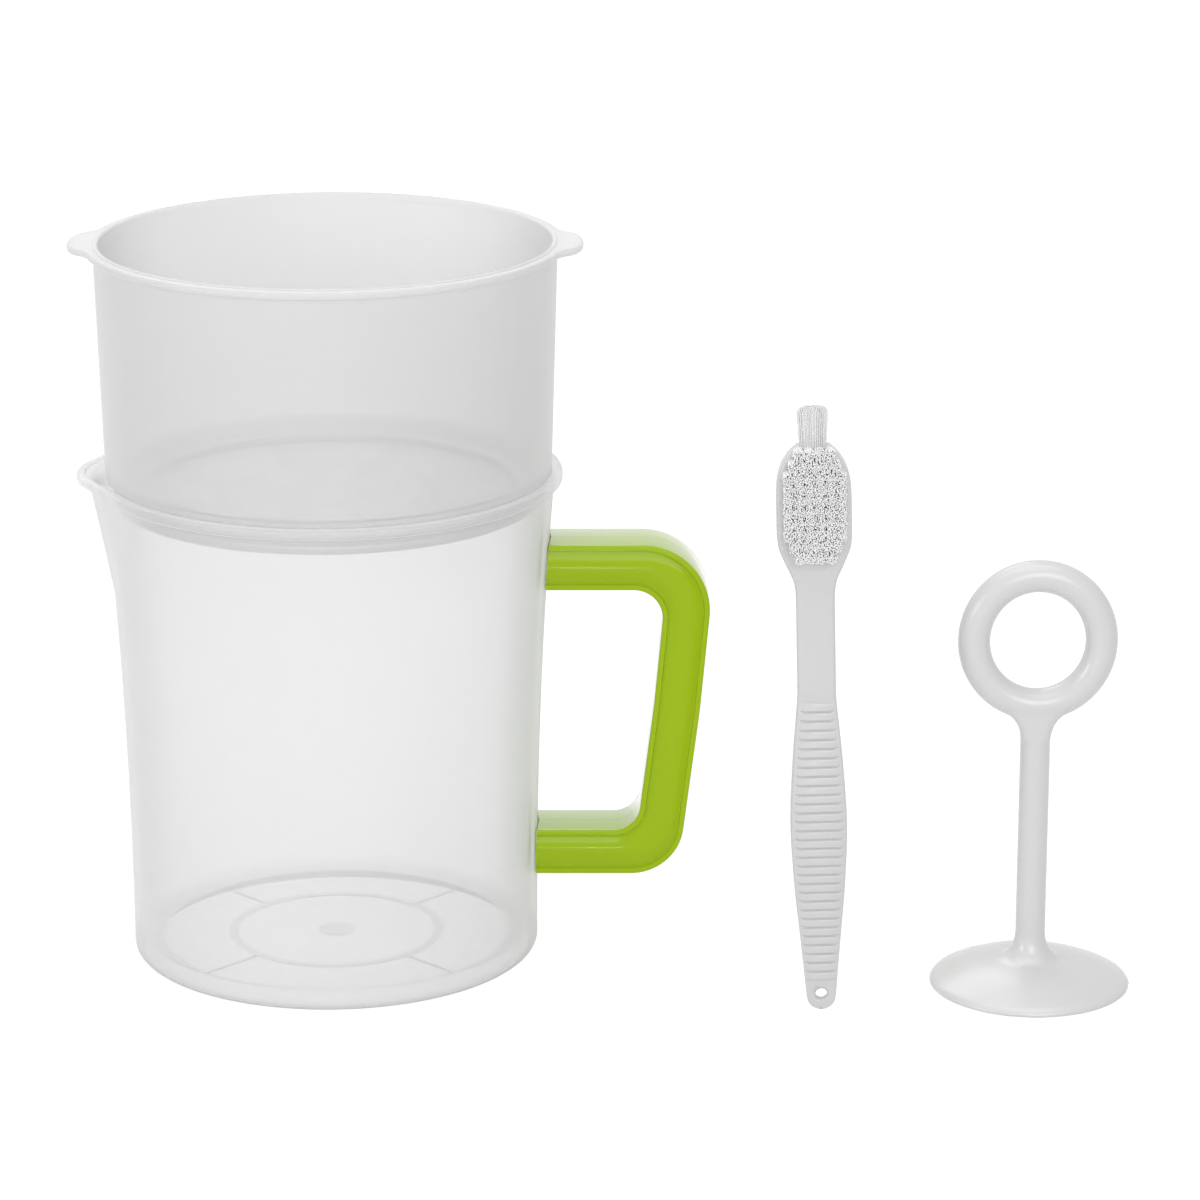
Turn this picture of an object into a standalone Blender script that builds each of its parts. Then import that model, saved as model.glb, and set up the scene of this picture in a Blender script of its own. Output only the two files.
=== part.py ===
"""Yogurt strainer set: jug with a two-shell handle, straining cup, cleaning brush and press.

Run with blender --background --python part.py, or from the text editor. Metres, +Z up.
The origin is the middle of the whole set on the surface that it stands on. The spout points
to -X and the handle to +X, and the brush and the press stand beside the handle.
"""

import math

import bmesh
import bpy
from mathutils import Euler, Matrix, Vector
from mathutils.geometry import delaunay_2d_cdt

# Clearances that pieces share
fit_gap = 0.0003
cut_overrun = 0.004
union_sink = 0.0008
join_inset = 0.0002
merge_distance = 0.0000003

# Jug
jug_height = 0.1345
jug_foot_radius = 0.0554
jug_flare = 0.0053
flare_power_share = 2.2
jug_wall = 0.0018
jug_floor = 0.0020
foot_lift = 0.0032
foot_width = 0.0024
foot_corner = 0.0025
floor_corner = 0.0030
rim_reach = 0.0020
rim_thickness = 0.0026
rim_round = 0.0006

# Marks under the jug's floor
gate_radius = 0.0046
gate_drop = 0.0003
floor_ring_radius = 0.0283
floor_ring_width = 0.0015
floor_ring_drop = 0.0005
floor_rib_width = 0.0012
floor_rib_count = 4

# Spout: how far its tip stands out from the wall and from the rim, and its rounded nose
spout_drop = 0.0359
spout_wall_reach = 0.0037
spout_reach = 0.0050
spout_round = 0.0220
lip_height = 0.0055
lip_out_shares = (0.34, 0.86)
lip_edge_width = 0.0013
spout_levels = 3

# Handle
handle_depth = 0.0176
handle_width = 0.0126
handle_top = 0.1156
handle_bottom = 0.0223
grip_top_reach = 0.1042
grip_bottom_reach = 0.0939
grip_bow = 0.0008
outer_top_round = 0.0184
outer_bottom_round = 0.0145
inner_top_round = 0.0078
inner_bottom_round = 0.0072
knee_round = 0.2200
shell_wall = 0.0018
shell_edge_round = 0.0007
border_width = 0.0013
border_slope = 0.0003
panel_drop = 0.0004
panel_crown = 0.0003
panel_crown_inset = 0.0036
end_draw_share = 0.3

# Pegs, sockets and lugs that hold the handle
lug_length = 0.0130
lug_hole_share = 0.55
collar_radius = 0.0025
peg_radius = 0.0014
peg_length = 0.0045
socket_depth = 0.0052
grip_peg_shares = ((0.10, 0.10), (0.50, 0.0), (0.90, 0.10))

# Straining cup
cup_top = 0.1977
cup_rim_radius = 0.0616
cup_taper = 0.0018
cup_wall = 0.0015
bead_radius = 0.0636
bead_height = 0.0025
bead_round = 0.0006
ear_reach = 0.0048
ear_shares = (
    (0.0, 1.0), (0.25, 0.98), (0.45, 0.885), (0.6, 0.71), (0.7, 0.46), (0.82, 0.19), (1.0, 0.0),
)
spigot_drop = 0.0080
spigot_gap = 0.0008
cup_floor = 0.0018
cup_corner = 0.0016
inner_corner = 0.0008

# Floor grille, filter screen and the ring that holds it
grille_radius = 0.0505
grille_hub_radius = 0.0085
grille_mid_radius = 0.0290
grille_bar_width = 0.0024
spoke_count = 8
mesh_thickness = 0.0004
mesh_pitch = 0.0088
mesh_wire_width = 0.0011
mesh_border = 0.0042
ring_width = 0.0048
ring_thickness = 0.0018

# Press
press_disc_radius = 0.02705
press_edge_height = 0.0012
press_edge_round = 0.0009
press_dome_height = 0.0056
press_hollow = 0.0034
hollow_bend_share = 0.82
press_foot_width = 0.0022
press_rod_radius = 0.0040
press_fillet_height = 0.0076
press_fillet_width = 0.0057
press_ring_height = 0.0965
press_ring_half_width = 0.0169
press_ring_half_height = 0.0177
press_ring_bar = 0.0043
press_neck_round = 0.0080
neck_sink = 0.0012
press_offset = 0.1885
press_forward = 0.0330
dome_shares = ((0.955, 0.12), (0.83, 0.36), (0.71, 0.57), (0.49, 0.83))

# Brush body
brush_offset = 0.1317
brush_forward = 0.0518
brush_lean = math.radians(-1.56)
brush_foot_gap = 0.0001
tail_length = 0.0082
grip_length = 0.0777
neck_length = 0.0294
head_length = 0.0393
tail_half_depth = 0.0014
grip_half_width = 0.0074
grip_half_depth = 0.0031
neck_half_width = 0.0050
neck_half_depth = 0.0026
head_half_width = 0.0097
head_half_depth = 0.0030
brush_edge_round = 0.0009
rib_count = 31
rib_height = 0.0004
hang_hole_radius = 0.0016
hang_hole_height = 0.0042
tail_shares = ((0.0, 0.16), (0.07, 0.33), (0.2, 0.45), (0.42, 0.52), (0.7, 0.55))
grip_shares = ((0.0, 0.58), (0.16, 0.73), (0.34, 0.9), (0.56, 1.0), (0.78, 0.89), (1.0, 0.69))
head_swell_share = 0.25
neck_shares = (0.0, 0.3, 0.8)
head_shares = (
    (0.0, 0.52), (0.09, 0.58), (0.21, 0.79), (0.33, 0.97), (0.5, 1.0),
    (0.75, 0.985), (0.84, 0.91), (0.91, 0.78), (0.965, 0.61), (1.0, 0.45),
)

# Bristles
slice_thickness = 0.0007
slice_inset = 0.0008
slice_end_margin = 0.0010
slice_end_draw = 0.0002
bristle_length = 0.0054
tuft_radius = 0.00060
tuft_splay = 0.0003
strand_radius = 0.00028
strand_tip_share = 0.8
strands_in_tuft = 5
column_pitch = 0.0027
row_pitch = 0.0030
top_row_drop = 0.0018
tuft_rows = (4, 5, 6, 6, 6, 6, 6, 6, 5, 4)
tip_length = 0.0103
tip_half_width = 0.0033
tip_half_depth = 0.00175
tip_back_shift = 0.0006
tip_pitch = 0.00082
tip_splay_share = 0.16
tip_rows = (7, 8, 8, 7)

# Smoothness of round forms, in steps
turn = 2 * math.pi
sharp_angle = math.radians(35)
ear_half_angle = math.radians(12.5)
spout_half_angle = math.radians(36)
spout_steps = 12
jug_steps = 34
ear_steps = 8
cup_steps = 18
arc_steps = 5
lathe_steps = 24
peg_steps = 12
slice_steps = 14

# Places that follow from the sizes above
bead_and_ear = bead_radius + ear_reach
set_half_length = (press_offset + press_disc_radius + bead_and_ear) / 2
jug_x = bead_and_ear - set_half_length
spout_start = jug_height - spout_drop
lip_start = jug_height - lip_height
cup_seat = jug_height + fit_gap
cup_bottom = jug_height - spigot_drop
cup_floor_top = cup_bottom + cup_floor
head_start = tail_length + grip_length + neck_length
head_top = head_start + head_length


def jug_wall_radius(height):
    """Outer radius of the jug's round wall at a height."""
    return jug_foot_radius + jug_flare * (height / jug_height) ** flare_power_share


def spigot_radius():
    """Outer radius of the cup's spigot, which clears the narrowest mouth that it reaches."""
    return jug_wall_radius(cup_bottom) - jug_wall - spigot_gap


def cup_wall_radius(height):
    """Outer radius of the cup's tapered wall at a height."""
    return cup_rim_radius - cup_taper * (cup_top - height) / (cup_top - cup_seat)


def clear_scene():
    """Remove the objects of the scene that the script starts from."""
    for thing in list(bpy.data.objects):
        bpy.data.objects.remove(thing, do_unlink=True)


def plastic(name, colour, roughness, alpha=1.0):
    """A moulded plastic of one colour."""
    material = bpy.data.materials.new(name)
    material.use_nodes = True
    shader = material.node_tree.nodes["Principled BSDF"]
    shader.inputs["Base Color"].default_value = (*colour, 1.0)
    shader.inputs["Roughness"].default_value = roughness
    shader.inputs["Metallic"].default_value = 0.0
    shader.inputs["Alpha"].default_value = alpha
    return material


def place(name, mesh, material=None, parent=None):
    """Put a mesh into the scene as one named object, shaded smooth up to sharp edges."""
    mesh.shade_smooth()
    mesh.set_sharp_from_angle(angle=sharp_angle)
    thing = bpy.data.objects.new(name, mesh)
    bpy.context.scene.collection.objects.link(thing)
    thing.parent = parent
    if material is not None:
        mesh.materials.append(material)
    return thing


def close_mesh(name, bm):
    """Turn a closed bmesh into a mesh whose faces point out."""
    bmesh.ops.recalc_face_normals(bm, faces=bm.faces)
    mesh = bpy.data.meshes.new(name)
    bm.to_mesh(mesh)
    bm.free()
    return mesh


def add_loft(bm, rings, looped=False):
    """Skin rings of equal counts, either round and back to the first or capped at both ends."""
    rows = [[bm.verts.new(point) for point in ring] for ring in rings]
    pairs = list(zip(rows, rows[1:]))
    if looped:
        pairs.append((rows[-1], rows[0]))
    else:
        bm.faces.new(rows[0])
        bm.faces.new(rows[-1])
    for low, high in pairs:
        for i in range(len(low)):
            bm.faces.new((low[i - 1], low[i], high[i], high[i - 1]))


def loft(name, rings, looped=False):
    """A closed mesh skinned over rings."""
    bm = bmesh.new()
    add_loft(bm, rings, looped)
    return close_mesh(name, bm)


def circle(radius, height, steps, centre=(0.0, 0.0)):
    """Points of a level circle."""
    return [
        Vector((centre[0] + radius * math.cos(turn * i / steps),
                centre[1] + radius * math.sin(turn * i / steps), height))
        for i in range(steps)
    ]


def lathe_rings(profile, steps):
    """Level circles for a profile of radius and height pairs."""
    return [circle(radius, height, steps) for radius, height in profile]


def as_tool(thing):
    """Mark an object as a guide that only shapes another."""
    thing.hide_render = True
    thing.display_type = "WIRE"
    return thing


def combine(target, tool, operation):
    """Join a guide to an object, or cut it out, with a Boolean modifier."""
    modifier = target.modifiers.new(operation.title(), "BOOLEAN")
    modifier.operation = operation
    modifier.solver = "EXACT"
    modifier.object = as_tool(tool)


def ring_angles(middles, half_angle, fine_steps, coarse_steps):
    """Angles round a ring, close together about each middle and wide apart between."""
    angles = []
    rest = turn / len(middles) - 2 * half_angle
    for middle in middles:
        start = middle - half_angle
        angles += [start + 2 * half_angle * i / fine_steps for i in range(fine_steps)]
        start = middle + half_angle
        angles += [start + rest * i / coarse_steps for i in range(coarse_steps)]
    return angles


def from_middle(angle, middle):
    """Size of the angle between two directions."""
    return abs((angle - middle + math.pi) % turn - math.pi)


def follow(shares, place_share):
    """Value of a hand-set curve of shares at a place, on a smooth line through its points."""
    places = [point[0] for point in shares]
    values = [point[1] for point in shares]
    last = len(shares) - 1
    if place_share <= places[0]:
        return values[0]
    if place_share >= places[last]:
        return values[last]
    i = max(k for k in range(last) if places[k] <= place_share)
    slopes = [
        (values[min(k + 1, last)] - values[max(k - 1, 0)])
        / (places[min(k + 1, last)] - places[max(k - 1, 0)])
        for k in (i, i + 1)
    ]
    span = places[i + 1] - places[i]
    s = (place_share - places[i]) / span
    return ((2 * s ** 3 - 3 * s ** 2 + 1) * values[i] + (3 * s ** 2 - 2 * s ** 3) * values[i + 1]
            + (s ** 3 - 2 * s ** 2 + s) * span * slopes[0] + (s ** 3 - s ** 2) * span * slopes[1])


# Jug body


def spouted_radius(off_middle, base, tip):
    """Plan radius of a ring with a spout: two flats that touch the round wall, and a round nose."""
    if tip <= base:
        return base
    nose = tip - spout_round
    crease = math.acos((base - spout_round) / nose)
    nose_edge = math.atan2(spout_round * math.sin(crease),
                           nose + spout_round * math.cos(crease))
    if off_middle >= crease:
        return base
    if off_middle >= nose_edge:
        return base / math.cos(crease - off_middle)
    across = nose * math.sin(off_middle)
    return nose * math.cos(off_middle) + math.sqrt(spout_round ** 2 - across ** 2)


def jug_ring(height, base, tip=0.0):
    """One ring of the jug, round or with the spout's nose at -X."""
    points = []
    for angle in ring_angles([math.pi], spout_half_angle, spout_steps, jug_steps):
        radius = spouted_radius(from_middle(angle, math.pi), base, tip)
        points.append(Vector((radius * math.cos(angle), radius * math.sin(angle), height)))
    return points


def spout_wall_tip(height):
    """Radius of the spout's nose on the outer wall, which starts at nothing at its foot."""
    rise = max(0.0, (height - spout_start) / (lip_start - spout_start))
    return jug_wall_radius(height) + spout_wall_reach * rise


def underside_rings():
    """Rings from the gate mark at the middle, over the floor ring, to the foot's outer edge."""
    ring_outer = floor_ring_radius + floor_ring_width / 2
    ring_inner = floor_ring_radius - floor_ring_width / 2
    foot_outer = jug_foot_radius - foot_corner
    low = foot_lift - floor_ring_drop
    profile = (
        (gate_radius, foot_lift - gate_drop),
        (gate_radius + gate_drop, foot_lift),
        (ring_inner - floor_ring_drop, foot_lift),
        (ring_inner, low),
        (ring_outer, low),
        (ring_outer + floor_ring_drop, foot_lift),
        (foot_outer - foot_width - foot_lift, foot_lift),
        (foot_outer - foot_width, 0.0),
        (foot_outer, 0.0),
    )
    return [jug_ring(height, radius) for radius, height in profile]


def outer_wall_rings():
    """Rings up the outside, from the rounded foot to the lip."""
    rings = []
    for i in (1, 2, 3):
        angle = turn / 4 * i / 3
        height = foot_corner * (1 - math.cos(angle))
        inset = foot_corner * (1 - math.sin(angle))
        rings.append(jug_ring(height, jug_foot_radius - inset))
    middle = (foot_corner + spout_start) / 2
    rings.append(jug_ring(middle, jug_wall_radius(middle)))
    for i in range(spout_levels + 1):
        height = spout_start + (lip_start - spout_start) * i / spout_levels
        rings.append(jug_ring(height, jug_wall_radius(height), spout_wall_tip(height)))
    return rings


def lip_rings():
    """Rings over the rolled rim and the spout's curled lip, outside to inside."""
    flange = jug_wall_radius(jug_height) + rim_reach
    nose = flange + spout_reach
    wall_nose = spout_wall_tip(lip_start)
    under = jug_height - rim_thickness
    neck = under - rim_round
    curl = [wall_nose + (nose - wall_nose) * share for share in lip_out_shares]
    inside = jug_wall_radius(jug_height) - jug_wall
    return [
        jug_ring(neck, jug_wall_radius(neck), curl[0]),
        jug_ring(under, flange - rim_round, curl[1]),
        jug_ring(under + rim_round, flange, nose),
        jug_ring(jug_height - rim_round, flange, nose),
        jug_ring(jug_height, flange - rim_round, nose - rim_round),
        jug_ring(jug_height, inside + rim_round / 2, nose - lip_edge_width),
        jug_ring(jug_height - rim_round, inside, nose - lip_edge_width - rim_round),
        jug_ring(under, jug_wall_radius(under) - jug_wall, curl[0] - jug_wall / 2),
        jug_ring(lip_start, jug_wall_radius(lip_start) - jug_wall, wall_nose - jug_wall),
    ]


def inner_wall_rings():
    """Rings down the inside to the floor."""
    rings = []
    floor_top = foot_lift + jug_floor
    for i in reversed(range(spout_levels)):
        height = spout_start + (lip_start - spout_start) * i / spout_levels
        radius = jug_wall_radius(height) - jug_wall
        rings.append(jug_ring(height, radius, spout_wall_tip(height) - jug_wall))
    middle = (foot_corner + spout_start) / 2
    rings.append(jug_ring(middle, jug_wall_radius(middle) - jug_wall))
    side = jug_foot_radius - jug_wall
    for i in (0, 1, 2):
        angle = turn / 4 * i / 2
        height = floor_top + floor_corner * (1 - math.sin(angle))
        rings.append(jug_ring(height, side - floor_corner * (1 - math.cos(angle))))
    return rings


def add_box(bm, low, high):
    """Add one box to a bmesh from its lowest and highest corners."""
    rings = [
        [Vector((x, y, z)) for x, y in ((low.x, low.y), (high.x, low.y), (high.x, high.y),
                                        (low.x, high.y))]
        for z in (low.z, high.z)
    ]
    add_loft(bm, rings)


def floor_ribs():
    """Thin ribs that run from the floor ring to the foot, on the diagonals."""
    bm = bmesh.new()
    inner = floor_ring_radius
    outer = jug_foot_radius - foot_corner - foot_width / 2
    low = Vector((inner, -floor_rib_width / 2, foot_lift - floor_ring_drop + join_inset))
    high = Vector((outer, floor_rib_width / 2, foot_lift + union_sink))
    for i in range(floor_rib_count):
        start = len(bm.verts)
        add_box(bm, low, high)
        spin = Matrix.Rotation(turn * (i + 0.5) / floor_rib_count, 4, "Z")
        bm.verts.ensure_lookup_table()
        bmesh.ops.transform(bm, matrix=spin, verts=bm.verts[start:])
    return close_mesh("floor_ribs", bm)


def arm_heights():
    """Heights of the middles of the handle's upper and lower arms."""
    return handle_top - handle_width / 2, handle_bottom + handle_width / 2


def lug_hole_x(height):
    """Distance of a lug's cross hole from the jug's axis."""
    return jug_wall_radius(height) + lug_length * lug_hole_share


def lugs():
    """The two stubs on the wall that the handle's shells close over."""
    bm = bmesh.new()
    half_depth = handle_depth / 2 - shell_wall - fit_gap
    half_height = handle_width / 2 - shell_wall - fit_gap
    for height in arm_heights():
        wall = jug_wall_radius(height)
        low = Vector((wall - jug_wall + union_sink, -half_depth, height - half_height))
        high = Vector((wall + lug_length, half_depth, height + half_height))
        add_box(bm, low, high)
    return close_mesh("lugs", bm)


def lathe_across(bm, profile, place_at, steps):
    """Add a turned solid whose axis runs along Y through a point."""
    rings = []
    for radius, depth in profile:
        rings.append([
            Vector((place_at[0] + point.x, depth, place_at[1] + point.y))
            for point in circle(radius, 0.0, steps)
        ])
    add_loft(bm, rings)


def lug_holes():
    """Cutters for the cross holes that the pegs pass through."""
    bm = bmesh.new()
    reach = handle_depth / 2
    radius = collar_radius + fit_gap
    for height in arm_heights():
        lathe_across(bm, ((radius, -reach), (radius, reach)), (lug_hole_x(height), height),
                     peg_steps)
    return close_mesh("lug_holes", bm)


def build_jug(stand, material):
    """The jug: foot, flared wall, spout, rolled rim, floor marks and handle lugs."""
    rings = underside_rings() + outer_wall_rings() + lip_rings() + inner_wall_rings()
    jug = place("jug_body", loft("jug_body", rings), material, stand)
    combine(jug, place("floor_ribs", floor_ribs(), parent=stand), "UNION")
    combine(jug, place("lugs", lugs(), parent=stand), "UNION")
    combine(jug, place("lug_holes", lug_holes(), parent=stand), "DIFFERENCE")


# Handle


def sideways(points, distance):
    """An open path moved to the right of its direction, with its corners kept sharp."""
    moved = []
    lines = []
    for start, end in zip(points, points[1:]):
        along = (end - start).normalized()
        lines.append((start + Vector((along.y, -along.x)) * distance, along))
    moved.append(lines[0][0])
    for (first, along), (second, onward) in zip(lines, lines[1:]):
        across = along.x * onward.y - along.y * onward.x
        offset = second - first
        reach = (offset.x * onward.y - offset.y * onward.x) / across
        moved.append(first + along * reach)
    last = points[-1] - points[-2]
    moved.append(lines[-1][0] + last)
    return moved


def rounded(points, radii, steps):
    """An open path that turns right, with an arc at each inner corner."""
    path = [points[0]]
    for before, corner, after, radius in zip(points, points[1:], points[2:], radii):
        along = (corner - before).normalized()
        onward = (after - corner).normalized()
        bend = math.acos(max(-1.0, min(1.0, along.dot(onward))))
        start = corner - along * radius * math.tan(bend / 2)
        centre = start + Vector((along.y, -along.x)) * radius
        for i in range(steps + 1):
            spin = Matrix.Rotation(-bend * i / steps, 2)
            path.append(centre + spin @ (start - centre))
    path.append(points[-1])
    return path


def handle_loop(inset, end_overrun=0.0):
    """Side outline of the handle, drawn in by an inset from both edges, as X and Z pairs."""
    upper, lower = arm_heights()
    upper_end = jug_wall_radius(handle_top) + fit_gap - end_overrun
    lower_end = jug_wall_radius(lower + handle_width / 2) + fit_gap - end_overrun
    knee = (grip_top_reach + grip_bottom_reach) / 2 + grip_bow
    outer = [
        Vector((upper_end, handle_top)),
        Vector((grip_top_reach, handle_top)),
        Vector((knee, (handle_top + handle_bottom) / 2)),
        Vector((grip_bottom_reach, handle_bottom)),
        Vector((lower_end, handle_bottom)),
    ]
    outer_rounds = (outer_top_round - inset, knee_round - inset, outer_bottom_round - inset)
    inner_rounds = (inner_top_round + inset, knee_round - handle_width + inset,
                    inner_bottom_round + inset)
    outer_path = rounded(sideways(outer, inset), outer_rounds, arc_steps)
    inner_path = rounded(sideways(outer, handle_width - inset), inner_rounds, arc_steps)
    return outer_path + inner_path[::-1]


def handle_ring(inset, depth, end_overrun=None):
    """The handle's side outline at a depth along Y, by default with its ends drawn in a little."""
    if end_overrun is None:
        end_overrun = -inset * end_draw_share
    return [Vector((point.x, depth, point.y)) for point in handle_loop(inset, end_overrun)]


def peg_places():
    """Places of the pegs as X and Z pairs: one through each lug and the rest along the grip."""
    upper, lower = arm_heights()
    places = [(lug_hole_x(upper), upper), (lug_hole_x(lower), lower)]
    for share, draw_share in grip_peg_shares:
        height = upper + (lower - upper) * share
        down = (handle_top - height) / (handle_top - handle_bottom)
        outer = grip_top_reach + (grip_bottom_reach - grip_top_reach) * down
        places.append((outer - handle_width / 2 - handle_width * draw_share, height))
    return places


def across_pieces(name, profile, places):
    """The same turned solid at several places, as one mesh."""
    bm = bmesh.new()
    for place_at in places:
        lathe_across(bm, profile, place_at, peg_steps)
    return close_mesh(name, bm)


def build_handle_shell(name, side, stand, material):
    """One hollow half of the handle: bordered, slightly crowned face and open inner side."""
    half = handle_depth / 2
    seam = fit_gap / 2
    rings = [
        handle_ring(0.0, side * seam),
        handle_ring(0.0, side * (half - shell_edge_round)),
        handle_ring(shell_edge_round / 3, side * (half - shell_edge_round / 3)),
        handle_ring(shell_edge_round, side * half),
        handle_ring(border_width, side * half),
        handle_ring(border_width + border_slope, side * (half - panel_drop)),
        handle_ring(panel_crown_inset, side * (half - panel_drop + panel_crown)),
    ]
    shell = place(name, loft(name, rings), material, stand)
    cavity = [
        handle_ring(shell_wall, -side * cut_overrun, cut_overrun),
        handle_ring(shell_wall, side * (half - shell_wall), cut_overrun),
    ]
    tool = place(name + "_cavity", loft(name + "_cavity", cavity), parent=stand)
    combine(shell, tool, "DIFFERENCE")
    root = side * (half - shell_wall + union_sink)
    if side < 0:
        profile = ((collar_radius, root), (collar_radius, side * seam), (peg_radius, side * seam),
                   (peg_radius, -side * peg_length))
        pegs = across_pieces("pegs", profile, peg_places())
        combine(shell, place("pegs", pegs, parent=stand), "UNION")
        return
    bore = peg_radius + fit_gap
    profile = ((collar_radius, root), (collar_radius, side * seam), (bore, side * seam),
               (bore, side * socket_depth))
    sockets = across_pieces("sockets", profile, peg_places())
    combine(shell, place("sockets", sockets, parent=stand), "UNION")


# Straining cup


def cup_ring(height, base, ears=0.0):
    """One ring of the cup, round or with an ear towards -X and one towards +X."""
    points = []
    for angle in ring_angles([0.0, math.pi], ear_half_angle, ear_steps, cup_steps):
        off = min(from_middle(angle, 0.0), from_middle(angle, math.pi))
        radius = base + ears * follow(ear_shares, min(1.0, off / ear_half_angle))
        points.append(Vector((radius * math.cos(angle), radius * math.sin(angle), height)))
    return points


def cup_rings():
    """Rings round the cup's section: spigot, seat, wall, rim with ears, and back down inside."""
    spigot = spigot_radius()
    inside = spigot - cup_wall
    under = cup_top - bead_height
    rim_inside = cup_rim_radius - cup_wall
    corner = cup_corner * (1 - math.sqrt(0.5))
    return [
        cup_ring(cup_bottom, grille_radius),
        cup_ring(cup_bottom, spigot - cup_corner),
        cup_ring(cup_bottom + corner, spigot - corner),
        cup_ring(cup_bottom + cup_corner, spigot),
        cup_ring(cup_seat, spigot),
        cup_ring(cup_seat, cup_wall_radius(cup_seat)),
        cup_ring(under, cup_wall_radius(under)),
        cup_ring(under, bead_radius - bead_round, ear_reach),
        cup_ring(under + bead_round, bead_radius, ear_reach),
        cup_ring(cup_top - bead_round, bead_radius, ear_reach),
        cup_ring(cup_top, bead_radius - bead_round, ear_reach),
        cup_ring(cup_top, rim_inside + bead_round / 2),
        cup_ring(cup_top - bead_round, rim_inside),
        cup_ring(cup_seat + cup_wall, cup_wall_radius(cup_seat + cup_wall) - cup_wall),
        cup_ring(cup_seat, inside),
        cup_ring(cup_floor_top + inner_corner, inside),
        cup_ring(cup_floor_top, inside - inner_corner),
        cup_ring(cup_floor_top, grille_radius),
    ]


def grille_spokes():
    """Straight bars of the floor grille, from its hub to the cup's floor."""
    bm = bmesh.new()
    low = Vector((grille_hub_radius, -grille_bar_width / 2, cup_bottom + join_inset))
    high = Vector((grille_radius + union_sink, grille_bar_width / 2,
                   cup_floor_top - join_inset))
    for i in range(spoke_count):
        start = len(bm.verts)
        add_box(bm, low, high)
        spin = Matrix.Rotation(turn * (i + 0.5) / spoke_count, 4, "Z")
        bm.verts.ensure_lookup_table()
        bmesh.ops.transform(bm, matrix=spin, verts=bm.verts[start:])
    return close_mesh("grille_spokes", bm)


def grille_rings():
    """The hub ring and the middle ring of the floor grille."""
    bm = bmesh.new()
    low = cup_bottom + 2 * join_inset
    high = cup_floor_top - 2 * join_inset
    for radius in (grille_hub_radius, grille_mid_radius):
        outer = radius + grille_bar_width / 2
        inner = radius - grille_bar_width / 2
        profile = ((outer, low), (outer, high), (inner, high), (inner, low))
        add_loft(bm, lathe_rings(profile, lathe_steps), looped=True)
    return close_mesh("grille_rings", bm)


def build_cup(stand, material):
    """The straining cup with its moulded floor grille."""
    cup = place("strainer_cup", loft("strainer_cup", cup_rings(), looped=True), material, stand)
    combine(cup, place("grille_spokes", grille_spokes(), parent=stand), "UNION")
    combine(cup, place("grille_rings", grille_rings(), parent=stand), "UNION")


def plate_with_posts(name, outline, posts, low, high, holes=False):
    """A flat plate along Z whose posts are spots on it: pierced, or grown into strands.

    outline and each post's base are X and Y pairs. Each post is its base and its top points;
    with holes, the base is pierced through and the top is not used.
    """
    points = [Vector(point) for point in outline]
    faces = [list(range(len(outline)))]
    for base, _ in posts:
        faces.append(list(range(len(points), len(points) + len(base))))
        points += [Vector(point) for point in base]
    flat = delaunay_2d_cdt(points, [], faces, 1, merge_distance)
    spots, triangles, owners = flat[0], flat[2], flat[5]
    bm = bmesh.new()
    top = [bm.verts.new((spot.x, spot.y, high)) for spot in spots]
    where = {}
    for index, sources in enumerate(flat[3]):
        for source in sources:
            where[source] = index
    plain = [corners for corners, owner in zip(triangles, owners) if max(owner) == 0]
    for corners in plain:
        bm.faces.new([top[corner] for corner in corners])
    rim = [top[where[i]] for i in range(len(outline))]
    floor = [bm.verts.new((spots[where[i]].x, spots[where[i]].y, low))
             for i in range(len(outline))]
    if holes:
        under = {i: vertex for i, vertex in zip((where[k] for k in range(len(outline))), floor)}
        for index, spot in enumerate(spots):
            if index not in under:
                under[index] = bm.verts.new((spot.x, spot.y, low))
        for corners in plain:
            bm.faces.new([under[corner] for corner in corners])
    else:
        bm.faces.new(floor)
    for i in range(len(rim)):
        bm.faces.new((floor[i - 1], floor[i], rim[i], rim[i - 1]))
    for face, (base, ends) in zip(faces[1:], posts):
        feet = [top[where[i]] for i in face]
        if holes:
            heads = [under[where[i]] for i in face]
        else:
            heads = [bm.verts.new(end) for end in ends]
            bm.faces.new(heads)
        for i in range(len(feet)):
            bm.faces.new((feet[i - 1], feet[i], heads[i], heads[i - 1]))
    return close_mesh(name, bm)


def build_filter(stand, material):
    """The filter screen, as a flat net of square gaps inside a plain border."""
    radius = spigot_radius() - cup_wall - inner_corner - fit_gap
    low = cup_floor_top + fit_gap
    half = (mesh_pitch - mesh_wire_width) / 2
    count = int(radius / mesh_pitch)
    gaps = []
    for column in range(-count, count + 1):
        for row in range(-count, count + 1):
            x, y = column * mesh_pitch, row * mesh_pitch
            corner = math.hypot(abs(x) + half, abs(y) + half)
            if corner <= radius - mesh_border:
                square = ((x - half, y - half), (x + half, y - half), (x + half, y + half),
                          (x - half, y + half))
                gaps.append((square, None))
    outline = [(point.x, point.y) for point in circle(radius, 0.0, 2 * lathe_steps)]
    mesh = plate_with_posts("filter_mesh", outline, gaps, low, low + mesh_thickness, holes=True)
    place("filter_mesh", mesh, material, stand)


def build_retaining_ring(stand, material):
    """The flat ring that holds the filter's edge down on the cup's floor."""
    outer = spigot_radius() - cup_wall - 2 * fit_gap
    inner = outer - ring_width
    low = cup_floor_top + mesh_thickness + 2 * fit_gap
    high = low + ring_thickness
    profile = ((outer, low), (outer, high), (inner, high), (inner, low))
    mesh = loft("retaining_ring", lathe_rings(profile, 2 * lathe_steps), looped=True)
    place("retaining_ring", mesh, material, stand)


# Press


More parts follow.
